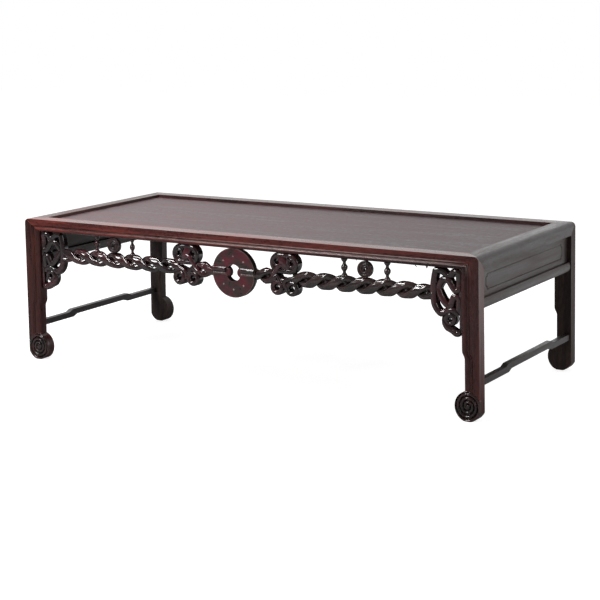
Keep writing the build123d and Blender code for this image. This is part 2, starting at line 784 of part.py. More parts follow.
def spandrel():
    """Right spandrel: knotted strands against a stile that follows the leg."""
    y0 = apron_face_y
    y1 = y0 + spandrel_thickness
    edge = spandrel_edge()
    foot = rail_under - stile_height
    body = prism_y([(edge - stile_width, rail_under), (edge, rail_under), (leg_inner_x(foot), foot),
                    (leg_inner_x(foot) - stile_width, foot)], y0 + stile_setback, y1)
    for chain in (outer_strand, cloud_strand, middle_strand, lower_strand):
        body = body + strand([(edge - u, rail_under - v) for u, v in chain], spandrel_strand, y0, y1)
    ring_u, ring_v = lower_ring_centre
    body = body + ring(edge - ring_u, rail_under - ring_v, lower_ring_radius + spandrel_strand / 2,
                       spandrel_strand, y0, y1)
    body = body + box(rope_pad_x(), rope_pad_x() + spandrel_strand, y0, y1,
                      rope_z - rope_pad_height / 2, rope_z + rope_pad_height / 2)
    low = foot - 2 * spandrel_strand
    room = prism_y([(0, low), (leg_inner_x(low) - seat_gap, low), (edge - seat_gap, rail_under),
                    (edge - seat_gap, rail_under - seat_gap), (0, rail_under - seat_gap)],
                   y0 - 1, y1 + 1)
    body = (body & room) + box(*spandrel_tongue_corners())
    body = body + box(*rail_tenon_corners(spandrel_tenon_x(), spandrel_middle_y()))
    return body - rope_dowel(rope_pad_x() - 1, rope_pad_x() + rope_dowel_length + fit_gap,
                             rope_dowel_radius + fit_gap)


def rope_section(x, half_turn, size):
    """Outline of the two twisted strands where the rope crosses the plane at x."""
    angle = math.pi * (x - rope_phase) / half_turn

    def point(along, across):
        y = (along * math.sin(angle) + across * math.cos(angle)) * rope_flattening * size
        z = (along * math.cos(angle) - across * math.sin(angle)) * size
        return Vector(x, rope_y + y, rope_z + z)
    outline = [(0, rope_web / 2)]
    for step in range(7):
        turn = math.radians(120 - 40 * step)
        outline.append((rope_strand_offset + rope_strand_radius * math.cos(turn),
                        rope_strand_width / 2 * math.sin(turn)))
    outline.append((0, -rope_web / 2))
    upper = [point(along, across) for along, across in outline]
    lower = [point(-along, -across) for along, across in outline]
    lower[0] = upper[-1]
    lower[-1] = upper[0]
    return Wire([Spline(*upper), Spline(*lower)])


def rope(x0, x1, half_turn, taper_from):
    """Two strands twisted together along X; beyond taper_from the rope grows slimmer."""
    count = max(2, math.ceil((x1 - x0) / half_turn * rope_sections))
    sections = []
    for index in range(count + 1):
        x = x0 + (x1 - x0) * index / count
        share = max(0.0, min(1.0, (x - taper_from) / rope_taper_length))
        sections.append(rope_section(x, half_turn, 1 - (1 - rope_taper) * share))
    return Solid.make_loft(sections)


def pin(x, z0, z1, radius=pin_radius):
    return cylinder_z(x, pin_y, radius, z0, z1)


def outer_rope(half_turn):
    """Length of rope between the right knot and the right spandrel."""
    x0 = knot_position + knot_half_width + seat_gap
    x1 = rope_pad_x() - seat_gap
    body = rope(x0, x1, half_turn, x1 - rope_taper_length)
    seat = rope_crest - rope_seat_depth
    for x in baluster_positions:
        body = body - box(x - baluster_bell_radius - 1, x + baluster_bell_radius + 1, rope_y - 20,
                          rope_y + 20, seat, seat + 20)
        body = body - pin(x, seat - pin_length - fit_gap, seat + 1, pin_radius + fit_gap)
    body = body - pin(small_disc_position, rope_crest - pin_length - fit_gap, rope_crest + 1,
                      pin_radius + fit_gap)
    body = body + rope_dowel(x0 - rope_dowel_length, x0 + 3, rope_dowel_radius)
    return body + rope_dowel(x1 - 3, x1 + rope_dowel_length, rope_dowel_radius)


def inner_rope(half_turn):
    """Short length of rope between the bi disc and the right knot."""
    x1 = knot_position - knot_half_width - seat_gap
    body = rope(bi_radius - 8, x1, half_turn, x1 + rope_taper_length)
    body = body - cylinder_y(0, rope_z, bi_radius + seat_gap, -half_depth - 5, 0)
    body = body + rope_dowel(bi_radius - rope_dowel_length, bi_radius + 6, rope_dowel_radius)
    return body + rope_dowel(x1 - 3, x1 + rope_dowel_length, rope_dowel_radius)


def knot():
    """Right knot: an oval loop above two rings, with the rope passing behind crossed strands."""
    x = knot_position
    y0 = apron_face_y
    y1 = y0 + knot_thickness
    half = knot_strand / 2
    bend = knot_oval_height / 2 - half
    reach = knot_half_width - half - bend
    z = rail_under - knot_oval_height / 2
    oval = [(x - reach, z + bend), (x, z + bend), (x + reach, z + bend), (x + reach + bend, z),
            (x + reach, z - bend), (x, z - bend), (x - reach, z - bend), (x - reach - bend, z),
            (x - reach, z + bend)]
    body = strand(oval, knot_strand, y0, y1)
    tilt = bend / 2
    body = body + strand([(x - tilt, z + bend), (x, z), (x + tilt, z - bend)], knot_cross_width,
                         y0 + 1, y1)
    ring_z = rail_under - knot_height + knot_ring_outer
    ring_x = knot_half_width - knot_ring_outer
    for side in (-1, 1):
        body = body + ring(x + side * ring_x, ring_z, knot_ring_outer, knot_strand, y0, y1)
        cross = [(x + side * (reach + 2), z - bend), (x + side * 4, rope_z + 2),
                 (x - side * (ring_x - 2), ring_z + knot_ring_outer - half)]
        body = body + strand(cross, knot_cross_width, y0, y1)
    body = body + box(x - knot_half_width, x + knot_half_width, y0 + knot_core_setback, y1,
                      rope_z - knot_core_height / 2, rope_z + knot_core_height / 2)
    body = body & box(x - 2 * knot_half_width, x + 2 * knot_half_width, y0 - 1, y1 + 1,
                      0, rail_under - seat_gap)
    body = body + box(*rail_tenon_corners(x, knot_y()))
    depth = rope_dowel_length + seat_gap + fit_gap
    for side in (-1, 1):
        face = x + side * knot_half_width
        body = body - rope_dowel(face - side * depth, face + side, rope_dowel_radius + fit_gap)
    return body


def knot_y():
    return apron_face_y + knot_thickness / 2


def bi_y():
    """Front face of the bi disc."""
    return -half_depth + bi_setback


def bi_disc():
    """Pierced disc with two straps that pass over its face and into its hole."""
    y0 = bi_y()
    y1 = y0 + bi_thickness
    disc = cylinder_y(0, rope_z, bi_radius, y0 - strap_projection, y1)
    body = cylinder_y(0, rope_z, bi_radius, y0, y1)
    body = body - cylinder_y(0, rope_z, bi_hole_radius, y0 - 1, y1 + 1)
    strap_z = rope_z + strap_rise
    for side in (-1, 1):
        x0 = side * bi_hole_radius
        strap = box(x0, side * (bi_radius + 1), y0 - strap_projection, y0 + 1,
                    strap_z - strap_height / 2, strap_z + strap_height / 2)
        end = cylinder_y(x0, strap_z, strap_end_radius, y0 - strap_projection, y1)
        body = body + (strap & disc) + end
    body = body & box(-2 * bi_radius, 2 * bi_radius, y0 - 9, y1 + 9, 0, rail_under - seat_gap)
    body = body + box(*rail_tenon_corners(0, y0 + bi_thickness / 2))
    depth = bi_radius - rope_dowel_length - fit_gap
    for side in (-1, 1):
        body = body - rope_dowel(side * depth, side * (bi_radius + 2), rope_dowel_radius + fit_gap)
    return body


def small_disc():
    """Right small disc: pierced, with a ring groove, pinned to the rail and to the rope."""
    x = small_disc_position
    z = rail_under - small_disc_drop
    y0 = -half_depth + small_disc_setback
    y1 = y0 + small_disc_thickness
    body = cylinder_y(x, z, small_disc_radius, y0, y1)
    groove = ring(x, z, small_disc_groove_radius + small_disc_groove, 2 * small_disc_groove,
                  y0 - 1, y0 + small_disc_groove)
    body = body - cylinder_y(x, z, small_disc_hole_radius, y0 - 1, y1 + 1) - groove
    inside = (small_disc_radius + small_disc_groove_radius) / 2
    body = body + pin(x, z + inside, rail_under + pin_length)
    return body + pin(x, rope_crest - pin_length, z - inside)


def baluster(x):
    """Turned baluster between the rail and the rope."""
    top = rail_under - seat_gap
    low = rope_crest - rope_seat_depth + seat_gap
    middle = (top + low) / 2
    neck = baluster_neck_radius
    bell = baluster_bell_radius
    bulb = baluster_bulb_radius
    half_bulb = 0.85 * bulb
    bell_height = (top - middle - half_bulb) * 0.55

    def at(radius, z):
        return Vector(x + radius, pin_y, z)
    half = [Line(at(0, top), at(bell, top)),
            ThreePointArc(at(bell, top), at(bell * 0.8, top - bell_height * 0.6),
                          at(neck, top - bell_height)),
            Line(at(neck, top - bell_height), at(neck, middle + half_bulb)),
            ThreePointArc(at(neck, middle + half_bulb), at(bulb, middle), at(neck,
                                                                           middle - half_bulb)),
            Line(at(neck, middle - half_bulb), at(neck, low + bell_height)),
            ThreePointArc(at(neck, low + bell_height), at(bell * 0.8, low + bell_height * 0.6),
                          at(bell, low)),
            Line(at(bell, low), at(0, low)), Line(at(0, low), at(0, top))]
    body = revolve(Face(Wire(half)), axis=Axis((x, pin_y, 0), (0, 0, 1)))
    body = body + pin(x, middle, rail_under + pin_length)
    return body + pin(x, rope_crest - rope_seat_depth - pin_length, middle)


# ---------------------------------------------------------------- long rails with their mortises
def front_rail():
    rail = long_rail()
    mortises = [grown_box(*rail_tenon_corners(0, bi_y() + bi_thickness / 2))]
    for side in (-1, 1):
        mortises.append(grown_box(*rail_tenon_corners(side * knot_position, knot_y())))
        mortises.append(grown_box(*rail_tenon_corners(side * spandrel_tenon_x(),
                                                      spandrel_middle_y())))
        for x in baluster_positions + (small_disc_position,):
            mortises.append(pin(side * x, rail_under - 1, rail_under + pin_length + fit_gap,
                                pin_radius + fit_gap))
    for mortise in mortises:
        rail = rail - mortise
    return rail


def back_rail():
    rail = mirror(long_rail(), about=Plane.XZ)
    half_length = leg_inner_x(rail_under)
    groove_y = half_depth - back_panel_recess - side_panel_thickness / 2
    half_groove = side_panel_tongue_thickness / 2 + fit_gap
    return rail - box(-half_length, half_length, groove_y - half_groove, groove_y + half_groove,
                      rail_under - 1, rail_under + side_panel_tongue + fit_gap)


def pair(right_piece, name):
    """A right piece and its mirror image, under their node names."""
    return {"right_" + name: right_piece, "left_" + name: mirror(right_piece, about=Plane.YZ)}


def main():
    right_leg = leg(right_stretcher_bottom)
    left_leg = leg(left_stretcher_bottom)
    pieces = {"front_rail": front_rail(), "back_rail": back_rail(), "top_panel": top_panel(),
              "back_panel": back_panel(), "back_lower_rail": back_lower_rail(),
              "bi_disc": bi_disc()}
    for index, x in enumerate(batten_places()):
        pieces["batten_" + str(index + 1)] = batten(x)
    pieces["right_front_leg"] = front_leg(right_leg)
    pieces["left_front_leg"] = mirror(front_leg(left_leg), about=Plane.YZ)
    pieces["right_back_leg"] = back_leg(right_leg)
    pieces["left_back_leg"] = mirror(back_leg(left_leg), about=Plane.YZ)
    pieces.update(pair(end_rail(), "end_rail"))
    pieces.update(pair(end_panel(), "end_panel"))
    pieces.update(pair(end_lower_rail(), "lower_rail"))
    pieces["right_stretcher"] = stretcher(right_stretcher_bottom, right_hump)
    left_stretcher = stretcher(left_stretcher_bottom, left_hump)
    pieces["left_stretcher"] = mirror(left_stretcher, about=Plane.YZ)
    pieces.update(pair(spandrel(), "spandrel"))
    pieces["right_outer_rope"] = outer_rope(right_rope_half_turn)
    pieces["left_outer_rope"] = mirror(outer_rope(left_rope_half_turn), about=Plane.YZ)
    pieces.update(pair(inner_rope(right_rope_half_turn), "inner_rope"))
    pieces.update(pair(knot(), "knot"))
    pieces.update(pair(small_disc(), "small_disc"))
    pieces.update(pair(baluster(baluster_positions[0]), "inner_baluster"))
    pieces.update(pair(baluster(baluster_positions[1]), "outer_baluster"))
    os.makedirs("parts", exist_ok=True)
    for name, piece in pieces.items():
        export_step(piece, "parts/" + name + ".step")


if __name__ == "__main__":
    main()
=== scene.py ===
import math

import bmesh
import bpy
from mathutils import Matrix, Vector


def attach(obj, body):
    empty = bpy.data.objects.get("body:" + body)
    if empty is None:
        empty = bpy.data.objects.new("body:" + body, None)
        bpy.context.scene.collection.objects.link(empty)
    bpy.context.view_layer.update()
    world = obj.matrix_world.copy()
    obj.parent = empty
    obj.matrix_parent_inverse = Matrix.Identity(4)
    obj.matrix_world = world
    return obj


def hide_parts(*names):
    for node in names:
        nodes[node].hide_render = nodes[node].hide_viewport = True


# %% [markdown]
# # A kang table with a carved rope apron
#
# A kang table is a long low table that stands on a heated brick bed. This one has a mitred frame
# round a floating panel, legs that end in scrolls, and an apron carved as a rope that runs through
# two knots and a pierced disc. The construction model already holds every board and joint, so this
# lesson dresses it. Edges are worn, the carving gets round strands, and each wood gets a finish.

# %% Load the construction model
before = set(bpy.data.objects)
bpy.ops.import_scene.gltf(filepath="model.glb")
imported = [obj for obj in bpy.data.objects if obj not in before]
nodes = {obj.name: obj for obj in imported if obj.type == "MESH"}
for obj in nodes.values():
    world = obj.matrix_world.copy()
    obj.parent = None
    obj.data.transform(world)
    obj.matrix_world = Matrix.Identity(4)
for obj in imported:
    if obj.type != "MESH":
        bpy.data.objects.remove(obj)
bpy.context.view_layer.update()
mm = 0.001


def linked(name, data):
    """New object in the scene."""
    item = bpy.data.objects.new(name, data)
    bpy.context.scene.collection.objects.link(item)
    return item


# %% [markdown]
# ## Sizes that the carving shares with the construction
#
# The carved pieces are drawn again with round strands, so they need the same places as the solids:
# the underside of the rail, the axis of the rope, and the centre lines of the strands.

# %% Shared sizes, in millimetres
rail_under = 257.0
table_height = 280.0
half_depth = 210.0
half_top = 485.0
half_floor = 490.0
lean = (half_floor - half_top) / table_height
leg_face = 33.0
apron_face = -206.5
rope_axis_y = -199.5
rope_axis_z = 212.0
knot_x = 106.6
turned_y = -202.5


def leg_inner_x(z):
    """Inner face of a leg, above its cusp, at height z."""
    return half_floor - lean * z - leg_face


spandrel_edge = leg_inner_x(rail_under)
print("the spandrels start", round(spandrel_edge, 2), "mm from the middle")

# %% [markdown]
# ## The camera
#
# The table is seen from the front right and a little from above, from about three metres away with
# a long lens, so the lines of the frame stay nearly parallel.

# %% Camera
camera_place = Vector((1.54291, -2.46919, 0.72392))
yaw, pitch, roll = -0.5548, 0.2030, -0.0158
ahead = Vector((math.sin(yaw) * math.cos(pitch), math.cos(yaw) * math.cos(pitch), -math.sin(pitch)))
level = Vector((math.cos(yaw), -math.sin(yaw), 0))
above = level.cross(ahead)
right_hand = math.cos(roll) * level + math.sin(roll) * above
upward = -math.sin(roll) * level + math.cos(roll) * above
lens = bpy.data.cameras.new("camera")
lens.lens = 92.92
lens.sensor_width = 36.0
lens.clip_start = 0.05
camera = linked("camera", lens)
camera.matrix_world = Matrix((
    (right_hand.x, upward.x, -ahead.x, camera_place.x),
    (right_hand.y, upward.y, -ahead.y, camera_place.y),
    (right_hand.z, upward.z, -ahead.z, camera_place.z),
    (0, 0, 0, 1)))
bpy.context.scene.camera = camera
bpy.context.scene.view_settings.view_transform = "Standard"
print("camera at", tuple(round(c, 3) for c in camera_place))

# %% [markdown]
# ## A short hand for node trees
#
# Both finishes and shapes are node trees. One helper adds a node and fills its sockets with numbers
# or with the results of other nodes. A result is kept as a value that knows its tree, so a sum such
# as a * b + c adds its own Math nodes, and a rule can be read like a formula.


# %% Node helpers
class Value:
    """Result of a node. Sums of values add Math nodes to the same tree."""

    def __init__(self, tree, socket):
        self.tree = tree
        self.socket = socket

    def __add__(self, other):
        return calc("ADD", self, other)

    def __sub__(self, other):
        return calc("SUBTRACT", self, other)

    def __rsub__(self, other):
        return calc("SUBTRACT", other, self)

    def __mul__(self, other):
        return calc("MULTIPLY", self, other)

    def __truediv__(self, other):
        return calc("DIVIDE", self, other)

    def __abs__(self):
        return calc("ABSOLUTE", self)


def add_node(tree, kind, inputs=None, **settings):
    """New node. inputs fills its sockets, settings are its own properties."""
    node = tree.nodes.new(kind)
    for key, value in settings.items():
        setattr(node, key, value)
    for key, value in (inputs or {}).items():
        if isinstance(value, Value):
            tree.links.new(value.socket, node.inputs[key])
        else:
            node.inputs[key].default_value = value
    return node


def take(tree, kind, inputs=None, output=0, **settings):
    """One output of a new node."""
    return Value(tree, add_node(tree, kind, inputs, **settings).outputs[output])


def calc(operation, *terms, clamp=False):
    """One Math node. At least one of its terms is a value."""
    tree = next(term.tree for term in terms if isinstance(term, Value))
    return take(tree, "ShaderNodeMath", dict(enumerate(terms)), operation=operation,
                use_clamp=clamp)


def ramp(value, low, high, to_low=0.0, to_high=1.0, smooth=False):
    """value from low..high is stretched to to_low..to_high and clamped."""
    return take(value.tree, "ShaderNodeMapRange",
                {"Value": value, "From Min": low, "From Max": high, "To Min": to_low,
                 "To Max": to_high}, "Result",
                interpolation_type="SMOOTHSTEP" if smooth else "LINEAR")


def blend(share, low, high):
    """low at a share of 0, high at a share of 1."""
    return take(share.tree, "ShaderNodeMix", {0: share, 2: low, 3: high})


def axes(value):
    """The x, y and z of a vector."""
    node = add_node(value.tree, "ShaderNodeSeparateXYZ", {0: value})
    return [Value(value.tree, output) for output in node.outputs]


def vector(tree, x=0.0, y=0.0, z=0.0):
    """Vector from three numbers or values."""
    return take(tree, "ShaderNodeCombineXYZ", {0: x, 1: y, 2: z})


def tone(red, green, blue):
    """Linear colour for a colour written as it looks on a screen, 0 to 255."""
    def straight(channel):
        share = channel / 255
        if share <= 0.04045:
            return share / 12.92
        return ((share + 0.055) / 1.055) ** 2.4
    return (straight(red), straight(green), straight(blue), 1.0)


print("helpers for node trees ready")

# %% [markdown]
# ## How the old lacquered wood is built
#
# The wood is a dense red-brown hardwood under dark lacquer. Its finish is laid on in steps: a broad
# drift of tone along the grain, fine fibres with small pores, lacquer worn through to lighter wood
# along the edges, and scattered nicks. Noise stretched along the grain gives the first two. The
# edge wear comes from a Bevel node: where its rounded normal differs from the true one, an edge is
# near. Painted shade, with some dirt, darkens the hollows, and faces that look sideways can get
# painted shade too. Mottle makes the tone uneven, and painted light makes the whole board brighter
# or darker towards one end of the table. Legs and front rail also get painted highlight lines along
# their moulding, with bands of painted shade beside them.


# %% Lines along the moulding
inner_edge_x = 0.458
inner_edge_z = 0.260
band_blur = 0.0004


def moulding_lines(place):
    """Painted highlight lines and painted shade bands round the inner edge of legs and rail."""
    x, y, z = axes(place)
    past_x = abs(x) - inner_edge_x
    corner_x = calc("MAXIMUM", past_x, 0.0)
    corner_z = calc("MAXIMUM", z - inner_edge_z, 0.0)
    outward = calc("SQRT", corner_x * corner_x + corner_z * corner_z)

    def band(low, high, strength):
        rise = ramp(outward, low - band_blur, low + band_blur)
        fall = ramp(outward, high - band_blur, high + band_blur, 1.0, 0.0)
        return rise * fall * strength

    # Pale bands are painted highlights, stronger towards the right; dull bands are painted shade.
    inner_glint = ramp(x, -0.3, 0.1, 0.15, 1.0)
    outer_glint = ramp(x, -0.2, 0.25, 0.0, 0.7)
    bead_shade = ramp(x, -0.3, 0.3, 0.1, 0.7)
    pale = band(0.0034, 0.0058, inner_glint) + band(0.0082, 0.0100, outer_glint)
    pale = pale * ramp(past_x, -0.035, -0.002, 1.0, 0.2)
    painted_shade_bands = band(0.0062, 0.0078, 0.4) + band(-0.0010, 0.0030, bead_shade)
    front_only = ramp(y, -0.204, -0.206) * ramp(z, 0.244, 0.258)
    return pale * front_only, painted_shade_bands * front_only


# %% Wood finish
def wood(name, ground, dark, worn, grain, gloss, patch=0.5, edge=1.0, relief=1.0, nicks=1.0,
         grime_and_shade=0.6, shine=0.5, blotch=(5.0, 70.0), mottle=0.3, speckle=(70.0, 260.0), sides=0.0,
         light_falloff=(1.0, 1.0), moulded=False, seed=0.0):
    """Lacquered wood in three screen colours.

    grain is the axis of the fibres and gloss is (smoothest, roughest). blotch and speckle are
    (along, across) the grain: how many drifts of tone and how many specks there are to a metre.
    fade is painted light: the tone at the left and right end of the table. sides puts painted shade
    and duller wood on the faces that look sideways.
    """
    ground, dark, worn = (tone(*colour) for colour in (ground, dark, worn))
    material = bpy.data.materials.new(name)
    material.use_nodes = True
    tree = material.node_tree
    place = take(tree, "ShaderNodeTexCoord", output="Object")

    def stretched(along, across):
        scale = [across, across, across]
        scale["XYZ".index(grain)] = along
        return take(tree, "ShaderNodeMapping", {"Vector": place, "Scale": scale,
                                                "Location": (seed, seed * 1.7, seed * 0.6)})

    def noise(along, across, detail, rough, bend=0.0):
        return take(tree, "ShaderNodeTexNoise",
                    {"Vector": stretched(along, across), "Scale": 1.0, "Detail": detail,
                     "Roughness": rough, "Distortion": bend}, "Fac")

    def mix(factor, first, second, way="MIX"):
        return take(tree, "ShaderNodeMix", {0: factor, 6: first, 7: second}, 2,
                    data_type="RGBA", blend_type=way)

    drift = noise(*blotch, 4.0, 0.6, 0.4)
    fibre = noise(28.0, 1100.0, 2.0, 0.5)
    pore = noise(90.0, 2600.0, 1.0, 0.5)
    cloud = noise(11.0, 24.0, 3.0, 0.6)
    specks = noise(*speckle, 4.0, 0.65)
    dent = take(tree, "ShaderNodeTexVoronoi", {"Vector": stretched(110.0, 230.0), "Scale": 1.0},
                "Distance")

    colour = mix(ramp(drift, 0.38, 0.64, smooth=True), dark, ground)
    colour = mix(ramp(fibre, 0.35, 0.7, 0.0, 0.45), colour, dark)
    rounded = take(tree, "ShaderNodeBevel", {"Radius": 0.0016}, samples=4)
    flat = take(tree, "ShaderNodeNewGeometry", output="Normal")
    agree = take(tree, "ShaderNodeVectorMath", {0: rounded, 1: flat}, "Value",
                 operation="DOT_PRODUCT")
    rubbed = ramp(agree, 0.99, 0.90) * ramp(cloud, 0.42, 0.62, smooth=True)
    rubbed = calc("MULTIPLY", rubbed, edge, clamp=True)
    bare = ramp(cloud, 0.60, 0.74, 0.0, patch, smooth=True)
    bare = bare * ramp(noise(16.0, 260.0, 3.0, 0.6), 0.46, 0.66, smooth=True)
    nick = ramp(dent, 0.10, 0.04, 0.0, nicks) * ramp(cloud, 0.5, 0.66)
    light = calc("MAXIMUM", calc("MAXIMUM", rubbed, bare), nick)
    colour = mix(calc("MULTIPLY", light, 0.9, clamp=True), colour, worn)
    if moulded:
        # Painted shade bands and painted highlight lines along the moulding.
        pale, painted_shade_bands = moulding_lines(place)
        colour = mix(painted_shade_bands, colour, tone(44, 27, 31))
        colour = mix(pale * ramp(fibre, 0.3, 0.5, 0.6, 1.0), colour, tone(244, 214, 210))

    # Painted shade: the Ambient Occlusion node darkens the hollows, as shade and some dirt would.
    hollow = take(tree, "ShaderNodeAmbientOcclusion", {"Distance": 0.005}, "AO", samples=4,
                  only_local=True)
    shade_light_and_mottle = ramp(hollow, 0.35, 0.95, 1.0 - grime_and_shade, 1.0)
    shade_light_and_mottle = shade_light_and_mottle * ramp(specks, 0.32, 0.68, 1.0 - mottle, 1.0 + mottle)
    # Painted light: the tone turns brighter or darker towards one end of the table.
    shade_light_and_mottle = shade_light_and_mottle * ramp(axes(place)[0], -0.48, 0.48, *light_falloff)
    # Painted shade, with duller wood, on the faces that look sideways.
    if sides:
        toward_front = abs(axes(flat)[1])
        shade_light_and_mottle = shade_light_and_mottle * ramp(toward_front, 0.1, 0.55, 1.0 - sides, 1.0, smooth=True)
    shade = take(tree, "ShaderNodeCombineColor", {0: shade_light_and_mottle, 1: shade_light_and_mottle, 2: shade_light_and_mottle})
    colour = mix(1.0, colour, shade, "MULTIPLY")

    matt = ramp(drift, 0.35, 0.65, *gloss) + light * 0.12 + pore * 0.06
    matt = matt + ramp(specks, 0.35, 0.65, -0.15 * mottle, 0.15 * mottle)
    height = fibre * 0.55 + pore * 0.3 - light * 0.35
    height = height + noise(30.0, 75.0, 2.0, 0.5) * 1.1 + specks * 0.9
    bump = take(tree, "ShaderNodeBump", {"Height": height, "Strength": 0.35 * relief,
                                         "Distance": 0.0006})
    shader = tree.nodes["Principled BSDF"]
    for label, result in (("Base Color", colour), ("Roughness", matt), ("Normal", bump)):
        tree.links.new(result.socket, shader.inputs[label])
    shader.inputs["IOR"].default_value = 1.52
    shader.inputs["Specular IOR Level"].default_value = shine
    return material


# %% [markdown]
# ## The finishes of this table
#
# The show faces are red-brown with orange wear, the recessed ends are greyer and drier, and the
# carving is almost black with wine-red patches where hands have polished it. The floating panel is
# a single wide mauve-brown board. It is rougher than its frame, with a close speckle from open
# pores. Boards of one finish get one material for each grain direction.

# %% Finishes of the boards
# Where a board turns brighter or darker towards one end of the table, that is painted light.
frame_back = wood("frame_wood_back", (84, 50, 48), (52, 35, 34), (120, 80, 62), "X",
                  (0.20, 0.34), patch=0.3, seed=0.8)
frame_long = wood("frame_wood_long", (138, 57, 48), (86, 36, 34), (184, 104, 68), "X",
                  (0.20, 0.34), patch=0.75, light_falloff=(1.0, 0.58), moulded=True, seed=0.3)
frame_end = wood("frame_wood_end", (70, 44, 40), (44, 30, 29), (120, 78, 60), "Y",
                 (0.28, 0.44), patch=0.3, shine=0.45, light_falloff=(1.7, 0.5), seed=1.1)
leg_wood = wood("leg_wood", (88, 38, 33), (64, 30, 28), (150, 82, 52), "Z",
                (0.22, 0.38), patch=0.6, light_falloff=(0.78, 0.98), moulded=True, seed=2.3)
side_long = wood("side_wood_end", (72, 58, 54), (50, 42, 41), (104, 84, 74), "Y",
                 (0.36, 0.52), patch=0.25, edge=0.6, seed=3.7)
side_back = wood("side_wood_back", (62, 44, 40), (42, 32, 31), (100, 70, 56), "X",
                 (0.36, 0.52), patch=0.25, edge=0.6, seed=4.9)
back_leg_wood = wood("back_leg_wood", (78, 62, 58), (52, 43, 41), (110, 82, 68), "Z",
                     (0.45, 0.60), patch=0.3, edge=0.6, shine=0.2, seed=2.9)
stretcher_wood = wood("stretcher_wood", (62, 55, 53), (42, 37, 37), (100, 82, 72), "Y",
                      (0.34, 0.5), patch=0.25, edge=0.7, seed=5.3)
inner_wood = wood("inner_wood", (58, 40, 34), (38, 28, 26), (84, 60, 48), "Y",
                  (0.5, 0.65), patch=0.2, edge=0.5, seed=6.1)
panel_wood = wood("panel_wood", (112, 80, 84), (76, 52, 56), (156, 130, 130), "X",
                  (0.42, 0.56), patch=0.45, edge=0.7, relief=0.7, mottle=0.5,
                  speckle=(120.0, 130.0), light_falloff=(0.92, 0.48), seed=9.2)
print(len(bpy.data.materials), "finishes so far")

# %% Finishes of the carving
# The carving gets painted shade in its hollows, with some dirt, and painted shade on faces that
# look sideways.
polished = {"gloss": (0.07, 0.14), "patch": 0.1, "edge": 0.2, "relief": 0.06, "nicks": 0.1,
            "shine": 1.0, "mottle": 0.12}
carved_wood = wood("carved_wood", (84, 38, 44), (42, 31, 32), (120, 64, 56), "X", grime_and_shade=0.8,
                   blotch=(12.0, 26.0), sides=0.5, seed=7.7, **polished)
carved_dark = wood("carved_dark_wood", (78, 56, 55), (48, 41, 40), (104, 78, 70), "X", grime_and_shade=0.8,
                   blotch=(12.0, 26.0), sides=0.25, seed=5.6, **polished)
carved_red = wood("carved_red_wood", (104, 42, 50), (70, 34, 40), (140, 76, 64), "X", grime_and_shade=0.7,
                  blotch=(20.0, 36.0), sides=0.4, seed=6.9, **polished)
scroll_wood = wood("scroll_wood", (84, 46, 43), (42, 30, 29), (140, 84, 62), "X",
                   (0.08, 0.16), patch=0.2, grime_and_shade=0.9, shine=0.9, blotch=(30.0, 40.0), seed=3.1)
small_disc_wood = wood("small_disc_wood", (84, 58, 58), (48, 38, 38), (120, 96, 90), "X",
                       (0.22, 0.34), grime_and_shade=0.9, blotch=(40.0, 60.0), sides=0.5, seed=4.4)
disc_wood = wood("disc_wood", (116, 34, 52), (62, 52, 49), (150, 128, 122), "X",
                 (0.24, 0.38), patch=0.1, edge=2.2, relief=0.8, blotch=(36.0, 44.0), mottle=0.2,
                 sides=0.8, seed=8.5)
# The pale ring on the disc rim is a painted highlight.
rim_glint_wood = wood("disc_rim_glint_wood", (140, 122, 114), (70, 58, 56), (170, 150, 142), "X",
                 (0.3, 0.45), grime_and_shade=0.1, blotch=(20.0, 24.0), seed=9.3)
# The near-white stars and dots are painted highlights.
glint_mark_wood = wood("glint_mark_wood", (214, 200, 194), (170, 152, 146), (226, 214, 206), "X",
                 (0.3, 0.45), grime_and_shade=0.1, seed=9.9)
print(len(bpy.data.materials), "finishes in all")

# %% [markdown]
# ## Wear on the joiner's boards
#
# A board that has been handled for a century has no sharp arris. Each construction solid is
# copied, its loose triangles are joined into clean faces, and a bevel rounds every edge. The bevel
# is narrow on mouldings and wider on plain members. The copy then stands for the solid.


# %% Worn copies
def joined_copy(node):
    """Clean mesh from the triangles of a construction solid."""
    mesh = bpy.data.meshes.new(node + "_mesh")
    work = bmesh.new()
    work.from_mesh(nodes[node].data)
    bmesh.ops.remove_doubles(work, verts=work.verts, dist=1e-6)
    bmesh.ops.dissolve_limit(work, angle_limit=math.radians(0.4), verts=work.verts,
                             edges=work.edges)
    work.to_mesh(mesh)
    work.free()
    return mesh


def place_piece(name, mesh, finish, slot, *replaced):
    """Puts a finished mesh in the scene, riding on the table, with its finish."""
    piece = linked(name, mesh)
    mesh.materials.clear()
    mesh.materials.append(finish)
    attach(piece, "root")
    if replaced:
        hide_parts(*replaced)


def settled(carrier):
    """Mesh of an object with its modifiers worked in. The object itself goes."""
    bpy.context.view_layer.update()
    depsgraph = bpy.context.evaluated_depsgraph_get()
    mesh = bpy.data.meshes.new_from_object(carrier.evaluated_get(depsgraph))
    bpy.data.objects.remove(carrier)
    return mesh


def worn_mesh(mesh, width, segments=2):
    """Rounds the sharp edges, width in millimetres, and shades the rest smooth."""
    carrier = linked("carrier", mesh)
    bevel = carrier.modifiers.new("arris", "BEVEL")
    bevel.width = width * mm
    bevel.segments = segments
    bevel.limit_method = "ANGLE"
    bevel.angle_limit = math.radians(32)
    result = settled(carrier)
    result.shade_smooth()
    result.set_sharp_from_angle(angle=math.radians(20))
    return result


